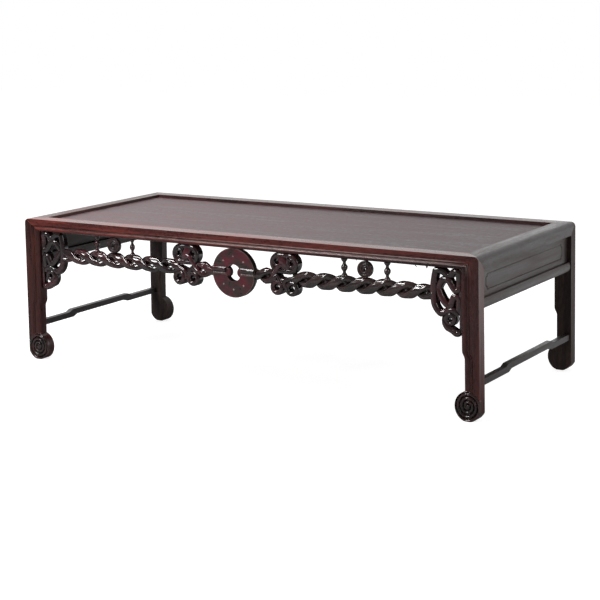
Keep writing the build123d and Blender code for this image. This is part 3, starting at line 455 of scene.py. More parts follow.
boards = (
    ("front_rail", frame_long, "frame_wood", 0.35),
    ("back_rail", frame_back, "frame_wood", 0.35),
    ("right_end_rail left_end_rail", frame_end, "frame_wood", 0.6),
    ("top_panel", panel_wood, "panel_wood", 0.5),
    ("right_back_leg left_back_leg", back_leg_wood, "leg_wood", 0.45),
    ("right_end_panel left_end_panel", side_long, "side_wood", 0.3),
    ("right_lower_rail left_lower_rail", side_long, "side_wood", 0.6),
    ("right_stretcher left_stretcher", stretcher_wood, "side_wood", 0.9),
    ("back_panel", side_back, "side_wood", 0.3),
    ("back_lower_rail", side_back, "side_wood", 0.6),
    ("batten_1 batten_2 batten_3", inner_wood, "inner_wood", 0.6),
)
for names, finish, slot, arris in boards:
    for node in names.split():
        mesh = worn_mesh(joined_copy(node), arris)
        place_piece(node + "_worn", mesh, finish, slot, node)
    print(names, "with worn edges")

# %% [markdown]
# ## Shape rules as Geometry Nodes
#
# The rope, the strands of the carving and the spirals all follow a rule, so each is a node tree
# with named inputs. A modifier runs the tree and its result becomes a plain mesh.


# %% Geometry Nodes helpers
def new_rule(name, inputs):
    """Empty tree with a geometry in and out and the named number inputs."""
    tree = bpy.data.node_groups.new(name, "GeometryNodeTree")
    face = tree.interface
    face.new_socket("Geometry", in_out="INPUT", socket_type="NodeSocketGeometry")
    for label, value in inputs.items():
        socket = face.new_socket(label, in_out="INPUT", socket_type="NodeSocketFloat")
        socket.default_value = value
    face.new_socket("Finish", in_out="INPUT", socket_type="NodeSocketMaterial")
    face.new_socket("Geometry", in_out="OUTPUT", socket_type="NodeSocketGeometry")
    sockets = tree.nodes.new("NodeGroupInput").outputs
    return tree, {socket.name: Value(tree, socket) for socket in sockets}


def finish_rule(tree, given, geometry):
    """Every tree ends in Realize Instances and Set Material."""
    real = take(tree, "GeometryNodeRealizeInstances", {"Geometry": geometry})
    coated = take(tree, "GeometryNodeSetMaterial",
                  {"Geometry": real, "Material": given["Finish"]})
    add_node(tree, "NodeGroupOutput", {0: coated})
    return tree


def moved_to(tree, geometry, place):
    """Geometry whose points stand at the given place."""
    return take(tree, "GeometryNodeSetPosition", {"Geometry": geometry, "Position": place})


def run_rule(tree, data, finish, **values):
    """Plain mesh that the tree makes of a mesh or curve with these inputs."""
    carrier = linked("carrier", data)
    modifier = carrier.modifiers.new("rule", "NODES")
    modifier.node_group = tree
    for item in tree.interface.items_tree:
        if item.in_out != "INPUT" or item.name == "Geometry":
            continue
        if item.name == "Finish":
            modifier[item.identifier] = finish
        elif item.name in values:
            modifier[item.identifier] = float(values[item.name])
    return settled(carrier)


def smooth_closed(mesh, angle=40):
    """Joins seams and poles, turns the faces outwards and shades them smooth."""
    work = bmesh.new()
    work.from_mesh(mesh)
    bmesh.ops.remove_doubles(work, verts=work.verts, dist=2e-6)
    bmesh.ops.recalc_face_normals(work, faces=work.faces)
    work.to_mesh(mesh)
    work.free()
    mesh.shade_smooth()
    mesh.set_sharp_from_angle(angle=math.radians(angle))
    return mesh


def mirrored(mesh):
    """The same mesh on the other side of the middle of the table."""
    other = mesh.copy()
    other.transform(Matrix.Scale(-1, 4, Vector((1, 0, 0))))
    other.flip_normals()
    return other


def joined(meshes, name):
    """One mesh from several."""
    work = bmesh.new()
    for mesh in meshes:
        work.from_mesh(mesh)
    whole = bpy.data.meshes.new(name)
    work.to_mesh(whole)
    work.free()
    return whole


def place_pair(name, mesh, finish, slot, node=None):
    """The right piece and its mirror image. node is the solid's name without its side."""
    for side, own_mesh in (("right_", mesh), ("left_", mirrored(mesh))):
        replaced = [side + node] if node else []
        place_piece(side + name, own_mesh, finish, slot, *replaced)


print("helpers for shapes ready")

# %% [markdown]
# ## The rope
#
# The rope is carved from one stick, as two strands that wind round each other. It could be modelled
# as two bent tubes, but then the valley between them would never be clean. Instead a flat grid is
# rolled up: at each place along the stick the outline is that of two ovals with a web of wood left
# between them, and the pair turns as it goes. Millimetres go in, and metres come out.


# %% Rope rule
per_strand = 26


def rope_rule():
    tree, given = new_rule("twisted_rope", {
        "Start": 0.0, "End": 100.0, "Half Turn": 40.0, "Phase": 0.0, "Thick": 6.6, "Wide": 9.8,
        "Offset": 8.4, "Round": 160.0, "Flat Path": 0.36, "Flat Strand": 0.82, "Outer Size": 1.0,
        "Inner Size": 1.0, "Fade": 40.0, "Sink": 0.0, "Axis Y": 0.0, "Axis Z": 0.0,
        "Rows": 200.0})
    points = 2 * per_strand
    grid = take(tree, "GeometryNodeMeshGrid", {
        "Size X": 1.0, "Size Y": 1.0, "Vertices X": given["Rows"], "Vertices Y": points + 1})
    along_grid, round_grid, _ = axes(take(tree, "GeometryNodeInputPosition"))
    x = (along_grid + 0.5) * (given["End"] - given["Start"]) + given["Start"]
    number = calc("FLOORED_MODULO", calc("ROUND", (round_grid + 0.5) * points), points)
    second = calc("GREATER_THAN", number, per_strand - 0.5)
    lobe = 0.5 - (number - second * per_strand) / (per_strand - 1.0)
    lobe = lobe * given["Round"] * (math.pi / 90)
    outward = calc("COSINE", lobe) * given["Thick"]

    to_end = given["End"] - x
    to_start = x - given["Start"]
    outer_fade = calc("DIVIDE", to_end, given["Fade"], clamp=True)
    inner_fade = calc("DIVIDE", to_start, given["Fade"], clamp=True)
    closing = calc("DIVIDE", calc("MINIMUM", to_end, to_start), 1.2, clamp=True)
    size = blend(outer_fade, given["Outer Size"], 1.0) * blend(inner_fade, given["Inner Size"], 1.0)
    size = size * calc("SQRT", closing) * (1.0 - second * 2.0)
    reach = (outward + given["Offset"]) * size
    beside = calc("SINE", lobe) * given["Wide"] * size
    forward = (outward * given["Flat Strand"] + given["Offset"] * given["Flat Path"]) * size

    turn = (x - given["Phase"]) / given["Half Turn"] * math.pi
    cos_t = calc("COSINE", turn)
    sin_t = calc("SINE", turn)
    y = beside * given["Flat Strand"] * cos_t + forward * sin_t + given["Axis Y"]
    y = y + (1.0 - inner_fade) * given["Sink"]
    z = reach * cos_t - beside * sin_t + given["Axis Z"]
    return finish_rule(tree, given, moved_to(tree, grid, vector(tree, x * mm, y * mm, z * mm)))


rope_tree = rope_rule()
upright_x = 229.5  # here the two strands lie one above the other
row_step = 1.1


def rope_mesh(start, end, half_turn, **more):
    """Rope between two places along the table, in millimetres."""
    values = {"Start": start, "End": end, "Half Turn": half_turn, "Phase": upright_x,
              "Axis Y": rope_axis_y, "Axis Z": rope_axis_z,
              "Rows": max(24, round((end - start) / row_step))}
    values.update({key.replace("_", " "): value for key, value in more.items()})
    blank = bpy.data.meshes.new("blank")
    return smooth_closed(run_rule(rope_tree, blank, carved_wood, **values), 60)


# %% [markdown]
# ## Ropes between the knots, the disc and the spandrels
#
# Both sides were cut by eye: the left rope takes 42 mm for half a turn and the right one 39.5.
# Each outer rope grows slimmer where it dives under the spandrel, and both ends run on into the
# knots, so that no gap shows behind the crossed strands.

# %% Four lengths of rope
spandrel_pad_x = spandrel_edge - 57.8
into_knot = 15.0
outer_span = (knot_x + into_knot, spandrel_pad_x + 6.0)
inner_span = (41.0, knot_x - into_knot)
for side, half_turn, outer_wood in (("right", 39.5, carved_dark), ("left", 42.0, carved_wood)):
    outer = rope_mesh(*outer_span, half_turn, Outer_Size=0.8, Inner_Size=0.8, Sink=2.0, Fade=34.0)
    inner = rope_mesh(*inner_span, 39.5, Outer_Size=0.76, Inner_Size=0.7, Sink=1.0, Fade=26.0)
    if side == "left":
        outer, inner = mirrored(outer), mirrored(inner)
    place_piece(side + "_outer_rope_carved", outer, outer_wood, "carved_wood",
                side + "_outer_rope")
    place_piece(side + "_inner_rope_carved", inner, carved_wood, "carved_wood",
                side + "_inner_rope")
    print(side, "rope", len(outer.polygons) + len(inner.polygons), "faces")

# %% [markdown]
# ## Strands of the openwork
#
# In the knots and spandrels the strands cross over and under each other. Each one follows a line of
# arcs, and every point of the line carries a depth, so a strand dips where another passes over it.
# The rule sweeps a profile along the line: a round front, straight sides and a flat back.


# %% Strand rule
def strand_rule():
    tree, given = new_rule("carved_strand", {
        "Width": 9.5, "Crown": 4.4, "Back": -192.5, "Step": 1.2})
    ready = take(tree, "GeometryNodeResampleCurve",
                 {"Curve": given["Geometry"], "Length": given["Step"] * mm}, mode="LENGTH")
    facing = take(tree, "GeometryNodeSetCurveNormal",
                  {"Curve": ready, "Normal": (0.0, -1.0, 0.0)}, mode="FREE")
    circle = take(tree, "GeometryNodeCurvePrimitiveCircle", {"Resolution": 22, "Radius": 1.0})
    x, y, _ = axes(take(tree, "GeometryNodeInputPosition"))
    in_front = calc("GREATER_THAN", x, 0.0)
    stretch = in_front * given["Crown"] + (1.0 - in_front) * 90.0
    outline = vector(tree, x * stretch * mm, y * given["Width"] * (0.5 * mm))
    swept = take(tree, "GeometryNodeCurveToMesh",
                 {"Curve": facing, "Profile Curve": moved_to(tree, circle, outline),
                  "Fill Caps": True})
    x, y, z = axes(take(tree, "GeometryNodeInputPosition"))
    trimmed = vector(tree, x, calc("MINIMUM", y, given["Back"] * mm), z)
    return finish_rule(tree, given, moved_to(tree, swept, trimmed))


strand_tree = strand_rule()
print("strand rule ready")


# %% Lines that the strands follow
point_gap = 1.5


def through_arcs(points):
    """Closely spaced (x, z, depth) points on arcs through each three points in turn."""
    line = [points[0]]
    for index in range(0, len(points) - 2, 2):
        first, middle, last = points[index:index + 3]
        (ax, az), (mx, mz), (bx, bz) = first[:2], middle[:2], last[:2]
        turn = 2 * (ax * (mz - bz) + mx * (bz - az) + bx * (az - mz))
        chord = math.hypot(bx - ax, bz - az)
        count = max(4, round(chord / point_gap))
        straight = abs(turn) < 0.02 * chord * chord
        if not straight:
            squares = [px * px + pz * pz for px, pz in (first[:2], middle[:2], last[:2])]
            cx = (squares[0] * (mz - bz) + squares[1] * (bz - az) + squares[2] * (az - mz)) / turn
            cz = (squares[0] * (bx - mx) + squares[1] * (ax - bx) + squares[2] * (mx - ax)) / turn
            radius = math.hypot(ax - cx, az - cz)
            start = math.atan2(az - cz, ax - cx)
            sweep = math.atan2(bz - cz, bx - cx) - start
            if (turn > 0) != (sweep > 0):
                sweep += 2 * math.pi if turn > 0 else -2 * math.pi
            count = max(count, round(abs(sweep) * radius / point_gap))
        for step in range(1, count + 1):
            share = step / count
            if share < 0.5:
                depth = first[2] + (middle[2] - first[2]) * share * 2
            else:
                depth = middle[2] + (last[2] - middle[2]) * (share * 2 - 1)
            if straight:
                line.append((ax + (bx - ax) * share, az + (bz - az) * share, depth))
            else:
                angle = start + sweep * share
                line.append((cx + radius * math.cos(angle), cz + radius * math.sin(angle), depth))
    return line


def strand_mesh(points, width, front, back, crown=None, closed=False):
    """One carved strand along (x, z, depth) points in millimetres."""
    crown = crown or width * 0.46
    line = through_arcs(points)
    if closed:
        line = line[:-1]
    curve = bpy.data.curves.new("line", "CURVE")
    curve.dimensions = "3D"
    spline = curve.splines.new("POLY")
    spline.points.add(len(line) - 1)
    for point, (x, z, depth) in zip(spline.points, line):
        point.co = (x * mm, (front + crown + depth) * mm, z * mm, 1)
    spline.use_cyclic_u = closed
    return run_rule(strand_tree, curve, carved_wood, Width=width, Crown=crown, Back=back)


def ring_points(x, z, radius, depths=(0.0, 0.0, 0.0, 0.0)):
    """Round loop as arcs, with depths at the right, top, left and bottom."""
    points = []
    for step in range(9):
        angle = math.pi / 4 * step
        depth = (depths[step // 2 % 4] + depths[(step + 1) // 2 % 4]) / 2
        points.append((x + radius * math.cos(angle), z + radius * math.sin(angle), depth))
    return points


print("a ring of radius 10 has", len(through_arcs(ring_points(0, 0, 10))), "points")

# %% [markdown]
# ## The spandrels
#
# Each spandrel fills the corner between leg and rail with a knotted cloud. Four strands and a small
# ring are cut against a plain stile that follows the leg, and a pad takes the end of the rope. Each
# point of the list is (across from the leg, down from the rail, depth).

# %% Spandrels
spandrel_lines = [
    [(49, 4.9, 1.2), (52.2, 24, 0.3), (51.8, 58, 0), (47.5, 70, 0), (39, 78.5, 0), (30, 75.5, 1.2),
     (22, 71.8, 0), (14.5, 72.5, 0), (8, 80, 1.6)],
    [(49, 5.2, 0), (40, 5.2, 0), (32.5, 10, 1.4), (25.6, 13.6, 2.2), (18.5, 10.2, 1.0),
     (12, 5.3, 0), (5.8, 8, 0), (5.2, 20, 1.4), (5.2, 32, 1.0), (9.5, 37.6, 0), (15, 35, 0),
     (18.5, 30.5, 0), (22, 25, 0), (28.5, 20.2, 0), (36, 22, 0.4), (41, 28.5, 1.2), (45, 37, 2.8)],
    [(45, 37, 2.8), (40.5, 46.5, 1.0), (34.5, 56, 0), (28.5, 62, 0), (21, 66, 0.6),
     (18.8, 58.5, 0), (16.2, 51.5, 0), (9.8, 48.4, 0), (5.2, 54, 1.0), (5.0, 62, 1.6),
     (8, 79, 3.2)],
    [(31, 84, 2.4), (31, 94, 0.5), (25.5, 102, 0), (18.5, 105.5, 1.2), (12, 109.2, 0),
     (6.5, 109.2, 0), (5.2, 104, 1.0)],
]
spandrel_strand = 12.2
spandrel_half = spandrel_strand / 2 - 0.1
spandrel_back = apron_face + 14.0
stile_foot = rail_under - 108.0


def spandrel_strand_mesh(points, width=spandrel_strand, **more):
    return strand_mesh(points, width, apron_face, spandrel_back, **more)


spandrel_parts = [spandrel_strand_mesh([
    (spandrel_edge - max(across, spandrel_half), rail_under - max(down, spandrel_half), depth)
    for across, down, depth in line]) for line in spandrel_lines]
small_ring = ring_points(spandrel_edge - 21.3, rail_under - 87.0, 7.6, (1.0, 0.4, 0.8, 1.6))
stile_line = [(leg_inner_x(z) - 3.05, z, 3.0)
              for z in (rail_under - 0.1, (rail_under + stile_foot) / 2, stile_foot)]
pad_line = [(spandrel_pad_x + 5, rope_axis_z + 9, 2.0), (spandrel_pad_x + 5, rope_axis_z, 1.6),
            (spandrel_pad_x + 5, rope_axis_z - 9, 2.0)]
spandrel_parts += [spandrel_strand_mesh(small_ring, 9.2, closed=True),
                   spandrel_strand_mesh(stile_line, 5.9, crown=1.2),
                   spandrel_strand_mesh(pad_line, 8.0, crown=3.0)]
spandrel_mesh = smooth_closed(joined(spandrel_parts, "spandrel"), 50)
place_pair("spandrel_carved", spandrel_mesh, carved_wood, "carved_wood", "spandrel")
print("each spandrel has", len(spandrel_mesh.polygons), "faces")

# %% [markdown]
# ## The knots
#
# Each knot is an oval loop under the rail with two eyes in it, and two rings below. A strand climbs
# from the rope over the loop and joins the broad one between the eyes. These two are pieces of
# their own, since they are redder. Under a narrow slot two more strands come down from the ropes
# and run into the rings. The points are (across from the middle of the knot, height, depth).

# %% Sizes of a knot
knot_half_width = 29.8
knot_strand = 9.4
knot_back = apron_face + 17.0
oval_height = 38.6
bend = oval_height / 2 - knot_strand / 2
reach = knot_half_width - knot_strand / 2 - bend
oval_z = rail_under - 0.1 - oval_height / 2
low_rim = oval_z - bend
ring_outer = 14.4
ring_radius = ring_outer - knot_strand / 2
ring_x = knot_half_width - ring_outer
ring_z = rail_under - 77.7 + ring_outer
print("the rings of a knot stand", round(ring_x * 2, 1), "mm apart")


# %% Knots
def knot_strand_mesh(points, width=knot_strand, crown=None, closed=False):
    placed = [(knot_x + across, z, depth) for across, z, depth in points]
    return strand_mesh(placed, width, apron_face, knot_back, crown=crown, closed=closed)


oval = [(reach, oval_z + bend, 0.6), (0, oval_z + bend, 1.4), (-reach, oval_z + bend, 0.4),
        (-reach - bend, oval_z, 0.2), (-reach, low_rim, 1.6), (0, low_rim, 1.0),
        (reach, low_rim, 0.6), (reach + bend, oval_z, 0.2), (reach, oval_z + bend, 0.6)]
inner_eye = ring_points(-15.0, 240.6, 7.4, (2.2, 1.4, 1.8, 2.2))
outer_eye = ring_points(14.6, 238.6, 6.8, (2.2, 1.4, 1.8, 2.2))
web = [(-20, 231.0, 4.6), (0, 229.0, 4.4), (20, 231.0, 4.6)]
curl = [(5.0, 250.0, 1.2), (7.6, 244.0, -0.4), (7.0, 237.0, 0.4)]
inner_descent = [(-25, 217.5, 2.0), (-15.5, 214.8, 0.8), (-10.5, 208.8, 0.0), (-7.0, 201.0, 0.2),
                 (-4.5, 193.5, 1.6)]
outer_descent = [(25, 214.6, 2.0), (13, 210.6, 0.6), (4.0, 207.6, 0.0), (-0.6, 200.6, 0.4),
                 (3.0, 192.5, 2.0)]
knot_parts = [knot_strand_mesh(oval, closed=True), knot_strand_mesh(inner_eye, 5.6, closed=True),
              knot_strand_mesh(outer_eye, 7.0, closed=True), knot_strand_mesh(web, 10.0),
              knot_strand_mesh(curl, 5.0)]
for side in (-1, 1):
    depths = (0.8, 1.8, 0, 0) if side > 0 else (0, 1.8, 0.8, 0)
    loop = ring_points(side * ring_x, ring_z, ring_radius, depths)
    core = [(side * 28.5, rope_axis_z, 5.0), (side * 23, rope_axis_z, 5.0),
            (side * 18.5, rope_axis_z + 0.5, 5.4)]
    foot = [(side * 22, 206.5, 3.0), (side * 12, 206.5, 3.2), (side * 2.0, 206.5, 3.6)]
    knot_parts += [knot_strand_mesh(loop, closed=True), knot_strand_mesh(core, 15.0),
                   knot_strand_mesh(foot, 10.0)]
knot_parts += [knot_strand_mesh(inner_descent, 7.6), knot_strand_mesh(outer_descent, 7.6)]
knot_mesh = smooth_closed(joined(knot_parts, "knot"), 50)
place_pair("knot_carved", knot_mesh, carved_wood, "carved_wood", "knot")
broad_over = [(-5.0, 250.0, 0.8), (-3.5, 243.0, -0.6), (0.0, 236.0, -0.6), (2.5, 230.5, 0.6),
              (3.0, 226.0, 2.6)]
climbing = [(-27, 210.0, 1.6), (-20.0, 218.5, 0.0), (-14.0, 227.0, -1.0), (-9.0, 233.0, -1.4),
            (-2.5, 236.0, -1.0)]
over_parts = [knot_strand_mesh(broad_over, 15.0, 3.4), knot_strand_mesh(climbing, 9.2, 3.8)]
over_mesh = smooth_closed(joined(over_parts, "knot_over"), 50)
place_pair("knot_over_strands", over_mesh, carved_red, "carved_wood")
print("each knot has", len(knot_mesh.polygons), "faces")

# %% [markdown]
# ## Spirals on the front feet and the small discs
#
# A scroll is a round block whose face is cut with one spiral valley. The rule pushes the face of a
# block backwards along the valley. How far along the spiral a point lies follows from its distance
# and its angle from the eye, so the ridge between two turns of the valley comes out round. The
# scrolls of the front feet are pieces of their own, with a brighter polish than the legs.


# %% Spiral rule
def spiral_rule():
    tree, given = new_rule("spiral_valley", {
        "Centre X": 0.0, "Centre Z": 0.0, "Half Width": 20.0, "Half Height": 20.0, "Pitch": 6.4,
        "Depth": 1.8, "Eye": 3.0, "Winding": 1.0, "Start": 0.0, "Face": -210.0})
    x, y, z = axes(take(tree, "GeometryNodeInputPosition"))
    share_x = (x / mm - given["Centre X"]) / given["Half Width"]
    share_z = (z / mm - given["Centre Z"]) / given["Half Height"]
    share = calc("SQRT", share_x * share_x + share_z * share_z)
    distance = share * given["Half Width"]
    angle = calc("ARCTAN2", share_z, share_x) / (2 * math.pi)
    turns = distance / given["Pitch"] - angle * given["Winding"] + given["Start"]
    ridge = calc("POWER", abs(calc("SINE", turns * math.pi)), 0.7)
    past_eye = ramp(distance, given["Eye"] * 0.5, given["Eye"] * 1.1, smooth=True)
    inside_rim = ramp(share, 0.97, 0.90, smooth=True)
    on_face = calc("LESS_THAN", y / mm, given["Face"] + 0.02)
    push = (1.0 - ridge) * past_eye * inside_rim * on_face * given["Depth"] * mm
    moved = take(tree, "GeometryNodeSetPosition",
                 {"Geometry": given["Geometry"], "Offset": vector(tree, 0.0, push)})
    return finish_rule(tree, given, moved)


spiral_tree = spiral_rule()
rim_steps = 4


def round_mesh(name, rows, spokes, place, closed=False):
    """Rows of points all round, joined by faces. place makes a point of (*row, cosine, sine)."""
    points = []
    faces = []
    for number, row in enumerate(rows):
        upper = (number + 1) % len(rows)
        for spoke in range(spokes):
            turn = 2 * math.pi * spoke / spokes
            points.append([value * mm for value in place(*row, math.cos(turn), math.sin(turn))])
            if upper or closed:
                after = (spoke + 1) % spokes
                faces.append((number * spokes + spoke, upper * spokes + spoke,
                              upper * spokes + after, number * spokes + after))
    mesh = bpy.data.meshes.new(name)
    mesh.from_pydata(points, [], faces)
    return mesh


def block_mesh(x, z, half_width, half_height, front, back, hole=0.0, rim=1.0, rings=44,
               spokes=120):
    """Closed round block, front towards -Y, with a dense face and a rounded rim."""
    share = rim / half_width
    rows = [(hole + (1 - share - hole) * ring / rings, front) for ring in range(rings + 1)]
    for step in range(1, rim_steps + 1):
        angle = math.pi / 2 * step / rim_steps
        rows.append((1 - share * (1 - math.sin(angle)), front + rim * (1 - math.cos(angle))))
    for step in range(rim_steps + 1):
        angle = math.pi / 2 * step / rim_steps
        rows.append((1 - share * (1 - math.cos(angle)), back - rim * (1 - math.sin(angle))))
    rows.append((hole, back))

    def place(radius, y, cosine, sine):
        return x + half_width * radius * cosine, y, z + half_height * radius * sine

    mesh = round_mesh("block", rows, spokes, place, closed=hole > 0)
    work = bmesh.new()
    work.from_mesh(mesh)
    bmesh.ops.remove_doubles(work, verts=work.verts, dist=1e-7)
    bmesh.ops.dissolve_degenerate(work, dist=1e-8, edges=work.edges)
    work.to_mesh(mesh)
    work.free()
    return mesh


# %% Scroll faces
scroll_x = 467.5
scroll_z = 25.7
scroll_size = (24.5, 26.5)
face_depth = 7.0


def carved_scroll():
    half_width, half_height = scroll_size
    block = block_mesh(scroll_x, scroll_z, half_width, half_height, -half_depth,
                       -half_depth + face_depth + 0.3, rim=1.1)
    mesh = run_rule(spiral_tree, block, scroll_wood, **{
        "Centre X": scroll_x - 0.8, "Centre Z": scroll_z + 0.4, "Half Width": half_width,
        "Half Height": half_height, "Pitch": 6.6, "Depth": 3.8, "Eye": 3.4, "Winding": -1.0,
        "Start": 0.25, "Face": -half_depth})
    for point in mesh.vertices:
        point.co.z = max(point.co.z, 0.0)
        point.co.x = min(point.co.x, half_floor * mm - lean * point.co.z)
    return smooth_closed(mesh, 55)


scroll_mesh = carved_scroll()
place_pair("foot_scroll", scroll_mesh, scroll_wood, "leg_wood")
print("each scroll face has", len(scroll_mesh.polygons), "faces")

# %% [markdown]
# ## The front legs
#
# A pocket as wide as the scroll is cut in the front of each leg, and the carved face sits in it.
# The moulding that runs down the inner edge stays as the construction made it.


# %% Front legs
def pocketed_leg():
    leg = linked("leg", joined_copy("right_front_leg"))
    half_width, half_height = (half + pocket_play for half in scroll_size)
    cutter_mesh = block_mesh(scroll_x, scroll_z, half_width, half_height, -half_depth - 3,
                             -half_depth + face_depth, rim=0.02, rings=1, spokes=120)
    cutter = linked("cutter", smooth_closed(cutter_mesh))
    cut = leg.modifiers.new("pocket", "BOOLEAN")
    cut.operation = "DIFFERENCE"
    cut.solver = "EXACT"
    cut.object = cutter
    result = settled(leg)
    bpy.data.objects.remove(cutter)
    return worn_mesh(result, 0.4)


pocket_play = 0.06
leg_mesh = pocketed_leg()
place_pair("front_leg_worn", leg_mesh, leg_wood, "leg_wood", "front_leg")
print("front leg", len(leg_mesh.polygons), "faces")

# %% [markdown]
# ## The pierced disc
#
# The disc in the middle is a bi, a ring that stands for the sky. Over each side of it lies a band,
# carved as if cloth were wrapped through the hole, and a thin lip runs below the band. Bands and a
# pale ring on the rim, which is a painted highlight, are pieces of their own, so that each takes
# its own finish. Small star marks stand round the ring, and a row of fine dots runs along each lip,
# all painted near white as highlights. Stars and dots repeat, so a rule puts a copy of one mark at
# every point.


# %% Rule for repeated marks
def marks_rule():
    tree, given = new_rule("star_marks", {"Long": 2.4, "Short": 0.7, "Proud": 0.2})
    circle = take(tree, "GeometryNodeMeshCircle", {"Vertices": 8, "Radius": 1.0},
                  fill_type="NGON")
    odd = calc("MODULO", take(tree, "GeometryNodeInputIndex"), 2.0)
    radius = blend(odd, given["Long"], given["Short"])
    scaled = take(tree, "ShaderNodeVectorMath",
                  {0: take(tree, "GeometryNodeInputPosition"), "Scale": radius * mm},
                  operation="SCALE")
    star = moved_to(tree, circle, scaled)
    raised = take(tree, "GeometryNodeExtrudeMesh",
                  {"Mesh": star, "Offset Scale": given["Proud"] * mm})
    base = take(tree, "GeometryNodeFlipFaces", {"Mesh": star})
    whole = add_node(tree, "GeometryNodeJoinGeometry", {0: raised})
    tree.links.new(base.socket, whole.inputs[0])
    upright = take(tree, "FunctionNodeInputVector", vector=(math.pi / 2, 0.0, 0.0))
    copies = take(tree, "GeometryNodeInstanceOnPoints",
                  {"Points": given["Geometry"], "Instance": Value(tree, whole.outputs[0]),
                   "Rotation": upright})
    return finish_rule(tree, given, copies)


marks_tree = marks_rule()


def marks_mesh(places, **sizes):
    """Small raised marks at (x, y, z) places in millimetres."""
    points = bpy.data.meshes.new("places")
    points.from_pydata([(x * mm, y * mm, z * mm) for x, y, z in places], [], [])
    return smooth_closed(run_rule(marks_tree, points, glint_mark_wood, **sizes), 30)


# %% Pierced disc and its bands
disc_front = -205.5
disc_back = disc_front + 12.0
band_z = 217.4
lip_z = 211.0
disc_radius = 45.3
disc_parts = [block_mesh(0.0, rope_axis_z, disc_radius, 45.2, disc_front, disc_back,
                         hole=15.6 / disc_radius, rim=1.3, rings=3, spokes=160)]
band_parts = []
for side in (-1, 1):
    line = [(side * 44.6, band_z, 0.6), (side * 32, band_z, 0.0), (side * 16.0, band_z, 0.3)]
    band_parts.append(strand_mesh(line, 9.8, disc_front - 3.9, disc_back, crown=3.9))
    lip = [(side * 44.6, lip_z, 1.2), (side * 32, lip_z, 1.0), (side * 17.0, lip_z, 1.2)]
    disc_parts.append(strand_mesh(lip, 4.6, disc_front - 2.0, disc_back, crown=1.0))
    disc_parts.append(block_mesh(side * 14.8, 212.6, 9.4, 9.8, disc_front + 0.9, disc_back - 0.3,
                                 rim=4.6, rings=2, spokes=64))
disc_mesh = smooth_closed(joined(disc_parts, "disc"), 35)
place_piece("bi_disc_carved", disc_mesh, disc_wood, "carved_wood", "bi_disc")
band_mesh = smooth_closed(joined(band_parts, "bands"), 35)
place_piece("disc_bands_carved", band_mesh, carved_wood, "carved_wood")
# A thin pale ring along the front rim of the disc, a painted highlight.
rim_glint_line = strand_mesh(ring_points(0.0, rope_axis_z, 44.7), 1.0, disc_front - 0.12,
                        disc_front + 4.0, crown=0.3, closed=True)
place_piece("disc_rim_glint", smooth_closed(rim_glint_line, 50), rim_glint_wood, "carved_wood")
print("disc", len(disc_mesh.polygons), "faces, bands", len(band_mesh.polygons))

# %% Marks of the disc
star_circle = 30.5
first_dot, dot_gap = 18.6, 3.3
stars = []
for number in range(8):
    angle = math.pi / 2 + math.pi / 4 * number
    x = star_circle * math.cos(angle)
    z = rope_axis_z + star_circle * math.sin(angle)
    if abs(z - band_z) > 8:
        stars.append((x, disc_front + 0.03, z))
# Stars and dots are painted near white, as highlights.
star_mesh = marks_mesh(stars, Long=2.3, Short=0.8, Proud=0.3)
place_piece("disc_stars", star_mesh, glint_mark_wood, "carved_wood")
dots = [(side * (first_dot + dot_gap * step), disc_front - 0.9, lip_z)
        for side in (-1, 1) for step in range(8)]
dot_mesh = marks_mesh(dots, Long=1.05, Short=0.95, Proud=0.7)
place_piece("disc_dots", dot_mesh, glint_mark_wood, "carved_wood")
print(len(stars), "stars and", len(dots), "dots")

# %% [markdown]
# ## Small discs and balusters
#
# Between rail and rope stand four turned balusters. Between the two of each side hangs a small
# pierced disc with a spiral face.


# %% Small discs
def small_disc_mesh():
    x, z, radius, front = 271.0, rail_under - 15.4, 14.6, -207.8
    block = block_mesh(x, z, radius, radius, front, front + 8.0, hole=2.6 / radius, rim=1.4,
                       rings=30, spokes=84)
    mesh = run_rule(spiral_tree, block, scroll_wood, **{
        "Centre X": x, "Centre Z": z, "Half Width": radius, "Half Height": radius, "Pitch": 4.6,
        "Depth": 1.2, "Eye": 3.0, "Winding": -1.0, "Start": 0.4, "Face": front})
    return smooth_closed(mesh, 55)


spiral_disc = small_disc_mesh()
place_pair("small_disc_carved", spiral_disc, small_disc_wood, "carved_wood", "small_disc")
print("each small disc has", len(spiral_disc.polygons), "faces")


# %% Balusters
def turned_mesh(x, girth):
    """Baluster as a lathe would leave it: bell, neck, bulb, neck, bell."""
    top = rail_under - 0.1
    low = 225.3
    middle = (top + low) / 2
    half = [(0.0, top), (4.9, top), (5.1, top - 0.6), (4.95, top - 2.0), (4.1, top - 3.9),
            (3.1, top - 5.3), (2.5, top - 6.2), (2.5, middle + 6.4), (2.9, middle + 5.8),
            (3.6, middle + 5.2), (3.3, middle + 4.8), (4.4, middle + 3.6), (5.0, middle + 1.8),
            (5.2, middle)]
    half = [(radius * girth, z) for radius, z in half]
    profile = half + [(radius, 2 * middle - z) for radius, z in half[-2::-1]]

    def place(radius, z, cosine, sine):
        return x + radius * cosine, turned_y + radius * sine, z

    return smooth_closed(round_mesh("baluster", profile, 32, place), 50)


for name, x in (("inner_baluster", 229.0), ("outer_baluster", 313.0)):
    for side, sign, girth, finish in (("right_", 1, 1.14, carved_dark),
                                      ("left_", -1, 0.96, carved_wood)):
        place_piece(side + name + "_turned", turned_mesh(sign * x, girth), finish, "carved_wood",
                    side + name)
    print(name, "at", x, "mm on both sides")

# %% [markdown]
# ## Splinters
#
# Where small ornaments broke off long ago, a few slivers of wood still hang from the rail. Each is
# a thin pyramid with its wide end in the rail and its tip leaning to one side.


